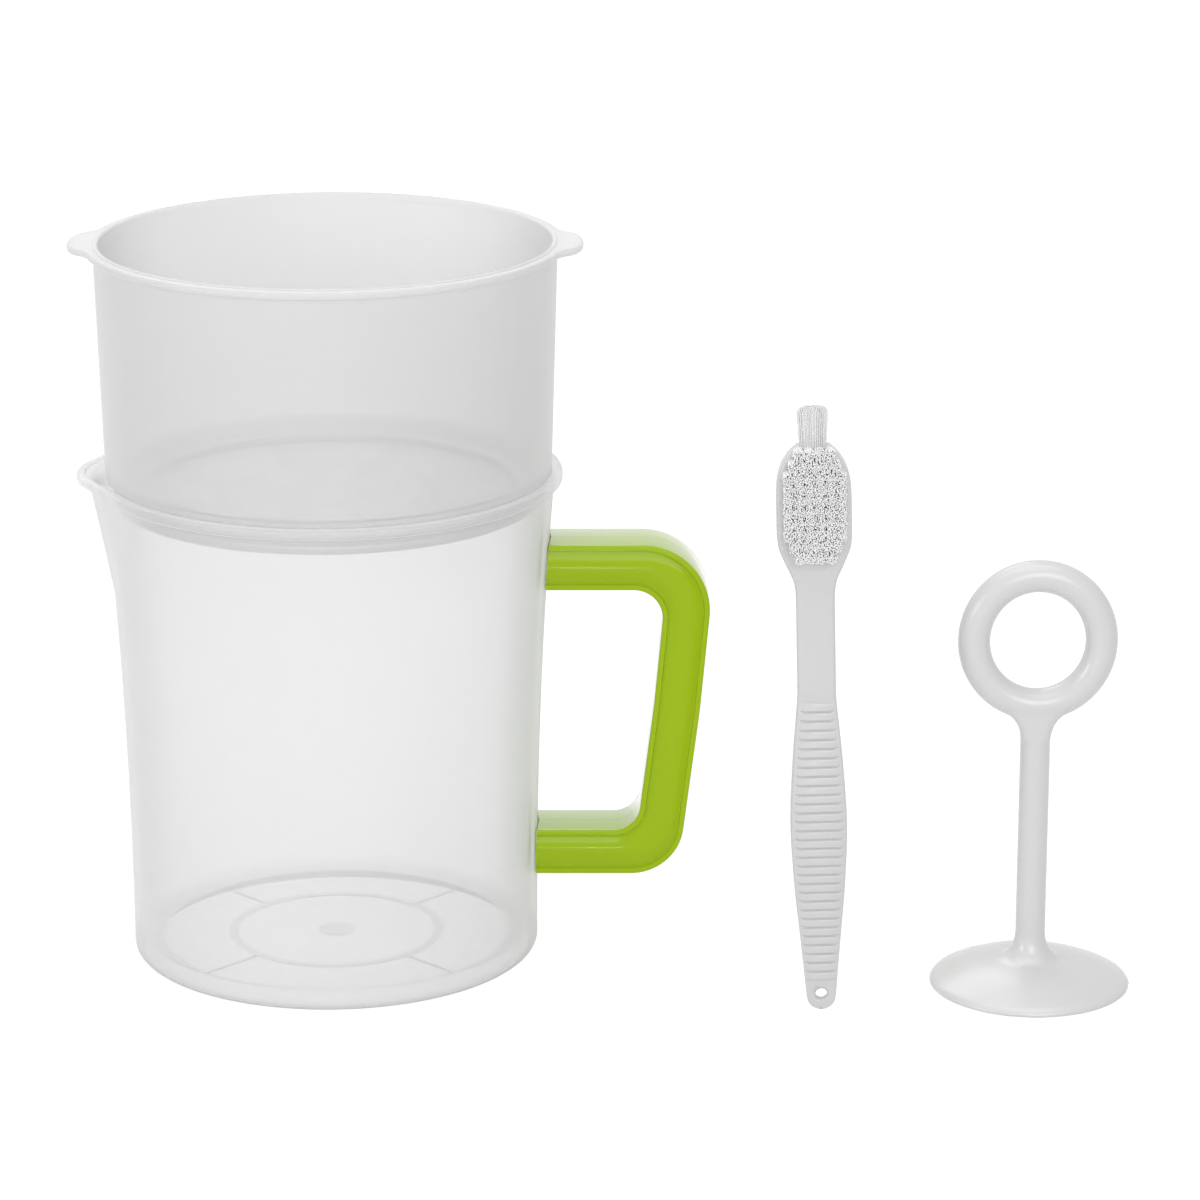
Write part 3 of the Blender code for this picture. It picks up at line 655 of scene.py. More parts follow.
@dataclass(frozen=True)
class Finishes:
    """The finishes of the set."""

    # The jug's wall hazes more toward its foot and darkens there with painted shade.
    jug: MilkyPlastic = MilkyPlastic(
        "milky jug plastic", (0.885, 0.885, 0.89), (0.88, 0.88, 0.885), 0.36,
        haze=0.29, edge_haze=0.80, edge_start=0.36, foot_haze=0.25)
    floor: MilkyPlastic = MilkyPlastic(
        "milky jug floor plastic", (0.82, 0.82, 0.825), (0.815, 0.815, 0.82), 0.36,
        haze=0.30, edge_haze=0.36)
    marks: MilkyPlastic = MilkyPlastic(
        "milky floor mark plastic", (0.66, 0.66, 0.665), (0.65, 0.65, 0.655), 0.36,
        haze=0.50, edge_haze=0.60)
    cup: MilkyPlastic = MilkyPlastic(
        "whitish cup plastic", (0.78, 0.78, 0.78), (0.775, 0.775, 0.78), 0.32, gloss=0.2,
        haze=0.44, edge_haze=0.92, edge_start=0.20)
    handle: MouldedPlastic = MouldedPlastic(
        "lime green handle plastic", (0.335, 0.49, 0.005), (0.33, 0.482, 0.005), 0.12, gloss=0.18,
        rim_coat=1.0)
    # Brush and press are one white plastic in two copies, toned to how each is lit: the brush's
    # darker white is painted shade.
    brush: MouldedPlastic = MouldedPlastic(
        "shaded white brush plastic", (0.61, 0.61, 0.61), (0.605, 0.605, 0.61), 0.25, gloss=0.6)
    press: MouldedPlastic = MouldedPlastic(
        "white press plastic", (0.64, 0.64, 0.64), (0.635, 0.635, 0.64), 0.25, gloss=0.6)
    screen: Filament = Filament("filter screen filament", (0.82, 0.82, 0.81), (0.72, 0.72, 0.71))
    bristle: Filament = Filament("bristle filament", (0.88, 0.88, 0.88), (0.85, 0.85, 0.85))
    # The end tuft is the face tufts' nylon toned darker: painted shade against the light that
    # falls on the head's end.
    shaded_end_bristle: Filament = Filament("shaded end filament", (0.77, 0.77, 0.77), (0.73, 0.73, 0.73))


def dress(thing: bpy.types.Object, finish: bpy.types.Material, body: Body,
          node: str) -> None:
    """Give a piece its finish and its place in the frame.

    Args:
        thing: the piece.
        finish: its material.
        body: the body that it moves with.
        node: the frame's node that it stands for.
    """
    thing.data.materials.clear()
    thing.data.materials.append(finish)
    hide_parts(node)
    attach(thing, body.value)
    LOG.info("%s: %d faces, rides on %s", thing.name, len(thing.data.polygons), body.value)


# Jug


@dataclass
class Jug:
    """The milky jug: foot, flared wall, rolled rim, spout and the stubs that carry the handle."""

    axis_x: float
    height: float
    foot_radius: float = 0.0554
    flare: float = 0.0053
    flare_power: float = 2.2
    wall: float = 0.0018
    floor: float = 0.0020
    foot_lift: float = 0.0032
    foot_width: float = 0.0024
    foot_corner: float = 0.0025
    floor_corner: float = 0.0015
    rim_reach: float = 0.0020
    rim_thickness: float = 0.0026
    rim_round: float = 0.0008
    gate_radius: float = 0.0046
    mark_depth: float = 0.0005
    mark_width: float = 0.0015
    rib_width: float = 0.0010
    rib_depth: float = 0.0004
    rib_count: int = 4
    floor_ring_radius: float = 0.0283
    level_slope: float = 0.5
    corner_slope: float = 0.3
    spout_drop: float = 0.0359
    spout_wall_reach: float = 0.0037
    spout_reach: float = 0.0050
    spout_round: float = 0.0220
    lip_height: float = 0.0055
    lip_edge_width: float = 0.0015
    stub_length: float = 0.0130
    steps: int = 300
    round_steps: int = 5
    wall_steps: int = 12

    def wall_radius(self, height: float) -> float:
        """Outer radius of the round wall at a height."""
        return self.foot_radius + self.flare * (height / self.height) ** self.flare_power

    def spouted_radius(self, off_middle: float, base: float, tip: float) -> float:
        """Plan radius of a ring with a spout: two flats that touch the wall, and a round nose.

        Args:
            off_middle: angle away from the spout's middle.
            base: radius of the round wall.
            tip: distance of the nose from the axis.

        Returns:
            The radius at that angle.
        """
        if tip <= base:
            return base
        nose = tip - self.spout_round
        crease = math.acos((base - self.spout_round) / nose)
        nose_edge = math.atan2(self.spout_round * math.sin(crease),
                               nose + self.spout_round * math.cos(crease))
        if off_middle >= crease:
            return base
        if off_middle >= nose_edge:
            return base / math.cos(crease - off_middle)
        across = nose * math.sin(off_middle)
        return nose * math.cos(off_middle) + math.sqrt(self.spout_round ** 2 - across ** 2)

    def ring(self, height: float, base: float, tip: float = 0.0) -> Ring:
        """One ring of the jug.

        Args:
            height: its height.
            base: radius of its round part.
            tip: distance of the spout's nose from the axis, or 0 for a round ring.

        Returns:
            The ring's points about the jug's axis.
        """
        return plan_ring(self.axis_x, height, self.steps,
                         lambda angle: self.spouted_radius(abs(angle - math.pi), base, tip))

    def spout_tip(self, height: float) -> float:
        """Distance of the spout's nose from the axis on the outer wall, below the lip.

        Args:
            height: where to measure it.

        Returns:
            The distance, which is the wall's own radius at the spout's start.
        """
        start = self.height - self.spout_drop
        rise = (height - start) / (self.height - self.lip_height - start)
        return self.wall_radius(height) + self.spout_wall_reach * max(0.0, rise)

    def underside(self) -> list[Ring]:
        """Section of the underside, from the gate mark at the middle to the foot.

        Returns:
            Its rings.
        """
        lift, mark = self.foot_lift, self.mark_depth
        ring_in = self.floor_ring_radius - self.mark_width / 2
        ring_out = self.floor_ring_radius + self.mark_width / 2
        foot_out = self.foot_radius - self.foot_corner
        profile = (
            (self.gate_radius, lift - mark), (self.gate_radius + mark, lift),
            (ring_in - mark, lift), (ring_in, lift - mark), (ring_out, lift - mark),
            (ring_out + mark, lift), (foot_out - self.foot_width - lift, lift),
            (foot_out - self.foot_width, 0.0), (foot_out, 0.0),
        )
        return [self.ring(height, radius) for radius, height in profile]

    def outside(self) -> list[Ring]:
        """Section of the outer wall, from the rounded foot up to the start of the lip.

        Returns:
            Its rings.
        """
        rings = []
        corner = (self.foot_radius - self.foot_corner, self.foot_corner)
        for radius, height in arc(corner, self.foot_corner, -75, 0, self.round_steps):
            rings.append(self.ring(height, radius))
        start = self.height - self.spout_drop
        for i in range(1, self.wall_steps):
            height = self.foot_corner + (start - self.foot_corner) * i / self.wall_steps
            rings.append(self.ring(height, self.wall_radius(height)))
        lip = self.height - self.lip_height
        for i in range(self.wall_steps + 1):
            height = start + (lip - start) * i / self.wall_steps
            rings.append(self.ring(height, self.wall_radius(height), self.spout_tip(height)))
        return rings

    def lip(self) -> list[Ring]:
        """Section of the rolled rim and the spout's curled lip, from outside to inside.

        Returns:
            Its rings.
        """
        flange = self.wall_radius(self.height) + self.rim_reach
        nose = flange + self.spout_reach
        start = self.height - self.lip_height
        under = self.height - self.rim_thickness
        wall_nose = self.spout_tip(start)
        edge = self.rim_round
        rings = []
        for i in range(1, self.round_steps + 1):
            angle = TURN / 4 * i / self.round_steps
            height = start + (under - start) * math.sin(angle)
            out = 1 - math.cos(angle)
            base = self.wall_radius(height)
            rings.append(self.ring(height, base + (flange - edge - base) * out ** 3,
                                   wall_nose + (nose - edge - wall_nose) * out))
        for start_angle, centre in ((-90, under + edge), (0, self.height - edge)):
            for out, height in arc((0.0, centre), edge, start_angle, start_angle + 90,
                                   self.round_steps):
                rings.append(self.ring(height, flange - edge + out, nose - edge + out))
        inside = self.wall_radius(self.height) - self.wall
        lip_inside = nose - self.lip_edge_width
        for out, height in arc((0.0, self.height - edge), edge, 90, 180, self.round_steps):
            rings.append(self.ring(height, inside + edge + out, lip_inside + out))
        low_tip = wall_nose - self.wall
        for i in range(self.round_steps - 1, -1, -1):
            angle = TURN / 4 * i / self.round_steps
            height = start + (self.height - edge - start) * math.sin(angle)
            tip = low_tip + (lip_inside - edge - low_tip) * (1 - math.cos(angle))
            rings.append(self.ring(height, self.wall_radius(height) - self.wall, tip))
        return rings

    def inside(self) -> list[Ring]:
        """Section of the inner wall, from the lip down and over its corner to the floor.

        Returns:
            Its rings.
        """
        rings = []
        start = self.height - self.spout_drop
        lip = self.height - self.lip_height
        for i in range(self.wall_steps - 1, -1, -1):
            height = start + (lip - start) * i / self.wall_steps
            rings.append(self.ring(height, self.wall_radius(height) - self.wall,
                                   self.spout_tip(height) - self.wall))
        for i in range(self.wall_steps - 1, 0, -1):
            height = self.foot_corner + (start - self.foot_corner) * i / self.wall_steps
            rings.append(self.ring(height, self.wall_radius(height) - self.wall))
        floor_top = self.foot_lift + self.floor
        side = self.foot_radius - self.wall
        centre = (side - self.floor_corner, floor_top + self.floor_corner)
        for radius, height in arc(centre, self.floor_corner, 0, -90, self.round_steps):
            rings.append(self.ring(height, radius))
        mark = self.mark_depth / 2
        for radius, height in (
            (self.floor_ring_radius + self.mark_width, floor_top),
            (self.floor_ring_radius, floor_top - mark),
            (self.floor_ring_radius - self.mark_width, floor_top),
            (self.gate_radius + mark, floor_top), (self.gate_radius, floor_top - mark),
        ):
            rings.append(self.ring(height, radius))
        return rings

    def ribs(self) -> bpy.types.Object:
        """Model the thin ribs under the floor, on the diagonals.

        Returns:
            The ribs as one object.
        """
        maker = MeshMaker("floor_ribs")
        levels = (self.foot_lift - self.rib_depth, self.foot_lift + self.mark_depth)
        outer = self.foot_radius - self.foot_corner - self.foot_width / 2
        for i in range(self.rib_count):
            maker.loft(spoke(self.axis_x, TURN * (i + 0.5) / self.rib_count,
                             (self.floor_ring_radius, outer), self.rib_width / 2, levels))
        return maker.build()

    def stubs(self, arms: Sequence[float], half_height: float,
              half_depth: float) -> bpy.types.Object:
        """Model the two stubs that reach into the handle's arms.

        Args:
            arms: heights of the arms' middles.
            half_height: half of a stub's height.
            half_depth: half of a stub's depth.

        Returns:
            The stubs as one object.
        """
        maker = MeshMaker("stubs")
        for height in arms:
            wall = self.wall_radius(height)
            maker.loft(spoke(self.axis_x, 0.0, (wall - self.wall / 2, wall + self.stub_length),
                             half_depth, (height - half_height, height + half_height)))
        return maker.build()

    def thick(self, radius: float) -> bool:
        """Find whether the underside is thicker at a radius.

        Args:
            radius: distance from the jug's axis.

        Returns:
            Whether it meets the gate mark, the ring or the foot.
        """
        foot_out = self.foot_radius - self.foot_corner
        return (radius < self.gate_radius + self.mark_depth
                or abs(radius - self.floor_ring_radius) < self.mark_width / 2 + self.mark_depth
                or foot_out - self.foot_width - self.foot_lift < radius < foot_out)

    def clear_floor(self, shell: bpy.types.Object, finish: bpy.types.Material,
                    mark_finish: bpy.types.Material) -> None:
        """Give the floor, with its inner corner, and the thicker places under it their finishes.

        Args:
            shell: the jug.
            finish: the floor's material.
            mark_finish: the material of the ring, the gate mark and the foot's underside.
        """
        shell.data.materials.append(finish)
        shell.data.materials.append(mark_finish)
        floor_top = self.foot_lift + self.floor
        corner_top = floor_top + self.floor_corner
        foot_out = self.foot_radius - self.foot_corner
        for face in shell.data.polygons:
            place, slope = face.center, face.normal.z
            radius = math.hypot(place.x - self.axis_x, place.y)
            level = abs(slope) > self.level_slope and place.z < floor_top + self.floor
            corner = floor_top < place.z < corner_top and slope > self.corner_slope
            if level and place.z < self.foot_lift + self.floor / 2 and self.thick(radius):
                face.material_index = 2
            elif corner or (level and radius < foot_out):
                face.material_index = 1

    def build(self, handle: Handle, finishes: Finishes) -> None:
        """Model and dress the jug.

        Args:
            handle: the handle that the stubs fit.
            finishes: the set's finishes.
        """
        maker = MeshMaker("jug_shell")
        maker.loft(self.underside() + self.outside() + self.lip() + self.inside())
        shell = maker.build()
        merge(shell, self.ribs(), "UNION")
        inset = handle.shell_wall + FIT_GAP
        merge(shell, self.stubs(handle.arm_heights(), handle.width / 2 - inset,
                                handle.depth / 2 - inset), "UNION")
        dress(shell, finishes.jug.material(), Body.JUG, "jug_body")
        self.clear_floor(shell, finishes.floor.material(), finishes.marks.material())


# Handle


@dataclass
class Handle:
    """The loop handle: two hollow shells that meet at a seam, each with a pillowed panel."""

    axis_x: float
    top: float
    bottom: float
    jug: Jug
    depth: float = 0.0176
    width: float = 0.0126
    top_reach: float = 0.1042
    bottom_reach: float = 0.0939
    bow: float = 0.0008
    outer_rounds: tuple[float, float] = (0.0184, 0.0145)
    inner_rounds: tuple[float, float] = (0.0078, 0.0072)
    knee_round: float = 0.2200
    shell_wall: float = 0.0018
    edge_round: float = 0.0006
    border_width: float = 0.0014
    groove_depth: float = 0.00065
    groove_width: float = 0.00045
    groove_slope_share: float = 1 / 3
    crown: float = 0.00100
    crown_share: float = 0.985
    end_gap: float = 0.0004
    seam_gap: float = 0.0001
    arc_steps: int = 18
    edge_steps: int = 4
    crown_steps: int = 8
    smooth_degrees: float = 30.0

    def arm_heights(self) -> tuple[float, float]:
        """Heights of the middles of the upper and the lower arm."""
        return self.top - self.width / 2, self.bottom + self.width / 2

    @staticmethod
    def sideways(points: Sequence[Vector], distance: float) -> list[Vector]:
        """Move an open path to the right of its direction, with its corners kept sharp.

        Args:
            points: the path's corners.
            distance: how far it moves.

        Returns:
            The moved corners.
        """
        lines = []
        for start, end in zip(points, points[1:]):
            along = (end - start).normalized()
            lines.append((start + Vector((along.y, -along.x)) * distance, along))
        moved = [lines[0][0]]
        for (first, along), (second, onward) in zip(lines, lines[1:]):
            across = along.x * onward.y - along.y * onward.x
            offset = second - first
            reach = (offset.x * onward.y - offset.y * onward.x) / across
            moved.append(first + along * reach)
        moved.append(lines[-1][0] + points[-1] - points[-2])
        return moved

    def rounded(self, points: Sequence[Vector], radii: Sequence[float]) -> list[Vector]:
        """Put an arc at each inner corner of a path that turns right.

        Args:
            points: the path's corners.
            radii: radius of each inner corner.

        Returns:
            The rounded path.
        """
        path = [points[0]]
        for before, corner, after, radius in zip(points, points[1:], points[2:], radii):
            along = (corner - before).normalized()
            onward = (after - corner).normalized()
            bend = math.acos(max(-1.0, min(1.0, along.dot(onward))))
            start = corner - along * radius * math.tan(bend / 2)
            centre = start + Vector((along.y, -along.x)) * radius
            for i in range(self.arc_steps + 1):
                spin = Matrix.Rotation(-bend * i / self.arc_steps, 2)
                path.append(centre + spin @ (start - centre))
        path.append(points[-1])
        return path

    def ring(self, inset: float, depth: float, overrun: float = 0.0) -> Ring:
        """The handle's side outline at a depth, with ends that follow the jug's wall.

        Args:
            inset: how far it is drawn in from both edges.
            depth: its place along Y.
            overrun: how far its ends pass the wall's gap.

        Returns:
            The outline's points, out along the outer edge and back along the inner one.
        """
        start = self.jug.foot_radius
        knee = (self.top_reach + self.bottom_reach) / 2 + self.bow
        corners = [
            Vector((start, self.top)),
            Vector((self.top_reach, self.top)),
            Vector((knee, (self.top + self.bottom) / 2)),
            Vector((self.bottom_reach, self.bottom)),
            Vector((start, self.bottom)),
        ]
        high, low = self.outer_rounds
        outer = self.rounded(self.sideways(corners, inset),
                             (high - inset, self.knee_round - inset, low - inset))
        high, low = self.inner_rounds
        knee_inner = self.knee_round - self.width + inset
        inner = self.rounded(self.sideways(corners, self.width - inset),
                             (high + inset, knee_inner, low + inset))
        for end in (outer[0], inner[0], outer[-1], inner[-1]):
            reach = self.jug.wall_radius(end.y) + self.end_gap
            end.x = math.sqrt(reach ** 2 - depth ** 2) - overrun
        return [Vector((self.axis_x + point.x, depth, point.y))
                for point in outer + inner[::-1]]

    def face_profile(self) -> list[tuple[float, float]]:
        """Section of one shell's outer skin, from the seam over the border to the panel's middle.

        Returns:
            Inset and depth pairs.
        """
        half = self.depth / 2
        profile = [(0.0, self.seam_gap / 2)]
        edge = self.edge_round
        profile += [(edge - out, depth)
                    for out, depth in arc((0.0, half - edge), edge, 0, 90, self.edge_steps)]
        start = self.border_width + self.groove_width
        floor = half - self.groove_depth
        profile += [(self.border_width, half),
                    (start - self.groove_width * self.groove_slope_share, floor)]
        reach = (self.width / 2 - start) * self.crown_share
        for i in range(self.crown_steps + 1):
            share = i / self.crown_steps
            profile.append((start + reach * share,
                            floor + self.crown * (1 - (1 - share) ** 2)))
        return profile

    def shell(self, side: Side, finish: bpy.types.Material) -> None:
        """Model and dress one half of the handle.

        Args:
            side: which half.
            finish: its material.
        """
        name = f"handle_{side.name.lower()}"
        outer = MeshMaker(name)
        outer.loft([self.ring(inset, side.value * depth) for inset, depth in self.face_profile()],
                   rungs=True)
        thing = outer.build(self.smooth_degrees)
        cavity = MeshMaker("cavity")
        wall = self.shell_wall
        roof = self.depth / 2 - wall
        cavity.loft([self.ring(wall, side.value * depth, wall) for depth in (-wall, roof)],
                    rungs=True)
        merge(thing, cavity.build(), "DIFFERENCE")
        dress(thing, finish, Body.JUG, f"{name}_shell")

    def build(self, finish: bpy.types.Material) -> None:
        """Model and dress both halves.

        Args:
            finish: the handle's material.
        """
        for side in Side:
            self.shell(side, finish)


# Straining cup with its screen and ring


@dataclass
class StrainingCup:
    """The cup in the jug's mouth: beaded rim with two ears, tapered wall, seat and spigot."""

    axis_x: float
    top: float
    bottom: float
    seat: float
    jug: Jug
    rim_radius: float = 0.0616
    taper: float = 0.0018
    wall: float = 0.0015
    bead_radius: float = 0.0636
    bead_height: float = 0.0025
    bead_round: float = 0.0009
    lip_round: float = 0.0008
    lip_rise: float = 0.00045
    seat_gap: float = 0.00005
    seat_edge: float = 0.00015
    ear_reach: float = 0.0048
    ear_half_angle: float = math.radians(13.5)
    ear_shares: Curve = (
        (0.0, 1.0), (0.25, 0.98), (0.45, 0.885), (0.6, 0.71), (0.7, 0.46), (0.82, 0.19),
        (1.0, 0.0),
    )
    spigot_gap: float = 0.0008
    floor: float = 0.0018
    corner: float = 0.0016
    inner_corner: float = 0.0010
    grille_radius: float = 0.0505
    hub_radius: float = 0.0085
    mid_radius: float = 0.0290
    bar_width: float = 0.0024
    bar_inset: float = 0.000225
    spokes: int = 8
    steps: int = 360
    hoop_steps: int = 96
    round_steps: int = 5

    def spigot_radius(self) -> float:
        """Outer radius of the spigot, which clears the jug's mouth."""
        return self.jug.wall_radius(self.bottom) - self.jug.wall - self.spigot_gap

    def wall_radius(self, height: float) -> float:
        """Outer radius of the tapered wall at a height."""
        return self.rim_radius - self.taper * (self.top - height) / (self.top - self.seat)

    def floor_top(self) -> float:
        """Height of the floor that the screen lies on."""
        return self.bottom + self.floor

    def bore_radius(self) -> float:
        """Inner radius of the spigot."""
        return self.spigot_radius() - self.wall

    def ear_share(self, angle: float) -> float:
        """How far the nearer ear stands out at an angle, as a share of its reach."""
        off_middle = min(angle, abs(angle - math.pi), TURN - angle)
        return follow(self.ear_shares, off_middle / self.ear_half_angle)

    def ring(self, height: float, base: float, ears: float = 0.0) -> Ring:
        """One ring of the cup.

        Args:
            height: its height.
            base: radius of its round part.
            ears: how far the two ears stand out from it.

        Returns:
            The ring's points about the cup's axis.
        """
        return plan_ring(self.axis_x, height, self.steps,
                         lambda angle: base + ears * self.ear_share(angle))

    def section(self) -> list[Ring]:
        """Section of the cup, from the spigot's foot over the rim and back down.

        Returns:
            Its rings.
        """
        spigot = self.spigot_radius()
        under = self.top - self.bead_height
        edge = self.bead_round
        wall_top = self.wall_radius(under)
        rings = [self.ring(self.bottom, self.grille_radius)]
        for radius, height in arc((spigot - self.corner, self.bottom + self.corner), self.corner,
                                  -90, 0, self.round_steps):
            rings.append(self.ring(height, radius))
        seat = self.jug.height + self.seat_gap
        rings += [
            self.ring(seat, spigot),
            self.ring(seat, self.wall_radius(seat) - self.seat_edge),
            self.ring(seat + self.seat_edge, self.wall_radius(seat)),
            self.ring(under - edge, self.wall_radius(under - edge)),
            self.ring(under, wall_top + edge / 2),
        ]
        shelf = self.top - self.lip_rise
        for start_angle, centre in ((-90, under + edge), (0, shelf - edge)):
            for out, height in arc((0.0, centre), edge, start_angle, start_angle + 90,
                                   self.round_steps):
                rings.append(self.ring(height, self.bead_radius - edge + out, self.ear_reach))
        inside = self.rim_radius - self.wall
        lip = self.lip_round
        start = math.degrees(math.asin(1 - self.lip_rise / lip))
        for out, height in arc((lip, self.top - lip), lip, start, 180, 2 * self.round_steps):
            rings.append(self.ring(height, inside + out))
        step = self.seat + self.wall
        rings += [
            self.ring(step, self.wall_radius(step) - self.wall),
            self.ring(self.seat, self.bore_radius()),
        ]
        centre = (self.bore_radius() - self.inner_corner, self.floor_top() + self.inner_corner)
        for radius, height in arc(centre, self.inner_corner, 0, -90, self.round_steps):
            rings.append(self.ring(height, radius))
        rings.append(self.ring(self.floor_top(), self.grille_radius))
        return rings

    def grille(self) -> bpy.types.Object:
        """Model the hub ring, middle ring and spokes of the floor's grille.

        Returns:
            The grille as one object.
        """
        maker = MeshMaker("grille")
        inset = self.bar_inset
        low, high = self.bottom + inset, self.floor_top() - inset
        half = self.bar_width / 2
        for i in range(self.spokes):
            maker.loft(spoke(self.axis_x, TURN * (i + 0.5) / self.spokes,
                             (self.hub_radius, self.grille_radius + half), half, (low, high)))
        spokes = maker.build()
        hoops = MeshMaker("hoops")
        low, high = low + inset, high - inset
        for radius in (self.hub_radius, self.mid_radius):
            profile = ((radius + half, low), (radius + half, high), (radius - half, high),
                       (radius - half, low))
            hoops.loft(turned(profile, self.hoop_steps, self.axis_x), looped=True)
        merge(spokes, hoops.build(), "UNION")
        return spokes

    def build(self, finish: bpy.types.Material) -> None:
        """Model and dress the cup.

        Args:
            finish: the cup's material.
        """
        maker = MeshMaker("cup_shell")
        maker.loft(self.section(), looped=True)
        cup = maker.build()
        merge(cup, self.grille(), "UNION")
        dress(cup, finish, Body.STRAINER, "strainer_cup")


@dataclass
class FilterScreen:
    """The fine filter screen on the cup's floor: woven threads in a welded border."""

    cup: StrainingCup
    thickness: float = 0.0004
    pitch: float = 0.0013
    thread_radius: float = 0.00016
    border: float = 0.0042
    sides: int = 4
    border_steps: int = 160

    def thread(self, offset: float, along_x: bool, parity: int, reach: float) -> list[Ring]:
        """One thread that goes over and under those that cross it.

        Args:
            offset: its distance from the screen's middle.
            along_x: whether it runs along X rather than along Y.
            parity: 0 or 1, which crossing it starts over.
            reach: half of its length.

        Returns:
            Its rings.
        """
        count = int(reach / self.pitch)
        low = self.cup.floor_top() + FIT_GAP + self.thickness / 2
        lift = self.thickness / 2 - self.thread_radius
        rings = []
        for k in range(-count, count + 1):
            height = low + (lift if (k + parity) % 2 else -lift)
            ring = []
            for side in range(self.sides):
                angle = TURN * (side + 0.5) / self.sides
                across = offset + self.thread_radius * math.cos(angle)
                up = height + self.thread_radius * math.sin(angle)
                place = k * self.pitch
                ring.append(Vector((place, across, up) if along_x else (across, place, up)))
            rings.append([point + Vector((self.cup.axis_x, 0, 0)) for point in ring])
        return rings

    def build(self, finish: bpy.types.Material) -> None:
        """Model and dress the screen.

        Args:
            finish: the screen's material.
        """
        radius = self.cup.bore_radius() - self.cup.inner_corner - FIT_GAP
        clear = radius - self.border
        maker = MeshMaker("filter_screen")
        count = int(clear / self.pitch)
        for k in range(-count, count + 1):
            reach = math.sqrt((clear + self.pitch) ** 2 - (k * self.pitch) ** 2)
            maker.loft(self.thread(k * self.pitch, True, k % 2, reach))
            maker.loft(self.thread(k * self.pitch, False, (k + 1) % 2, reach))
        low = self.cup.floor_top() + FIT_GAP
        high = low + self.thickness
        profile = ((radius, low), (radius, high), (clear, high), (clear, low))
        maker.loft(turned(profile, self.border_steps, self.cup.axis_x), looped=True)
        dress(maker.build(), finish, Body.STRAINER, "filter_mesh")


@dataclass
class RetainingRing:
    """The flat ring that holds the screen's edge down."""

    screen: FilterScreen
    width: float = 0.0048
    thickness: float = 0.0018
    edge_round: float = 0.0004
    round_steps: int = 3
    steps: int = 200

    def build(self, finish: bpy.types.Material) -> None:
        """Model and dress the ring.

        Args:
            finish: the ring's material.
        """
        cup = self.screen.cup
        outer = cup.bore_radius() - 2 * FIT_GAP
        inner = outer - self.width
        low = cup.floor_top() + self.screen.thickness + 2 * FIT_GAP
        high = low + self.thickness
        edge = self.edge_round
        profile = [(inner, low), (outer, low)]
        profile += arc((outer - edge, high - edge), edge, 0, 90, self.round_steps)
        profile += arc((inner + edge, high - edge), edge, 90, 180, self.round_steps)
        maker = MeshMaker("screen_ring")
        maker.loft(turned(profile, self.steps, cup.axis_x), looped=True)
        dress(maker.build(), finish, Body.STRAINER, "retaining_ring")


# Press


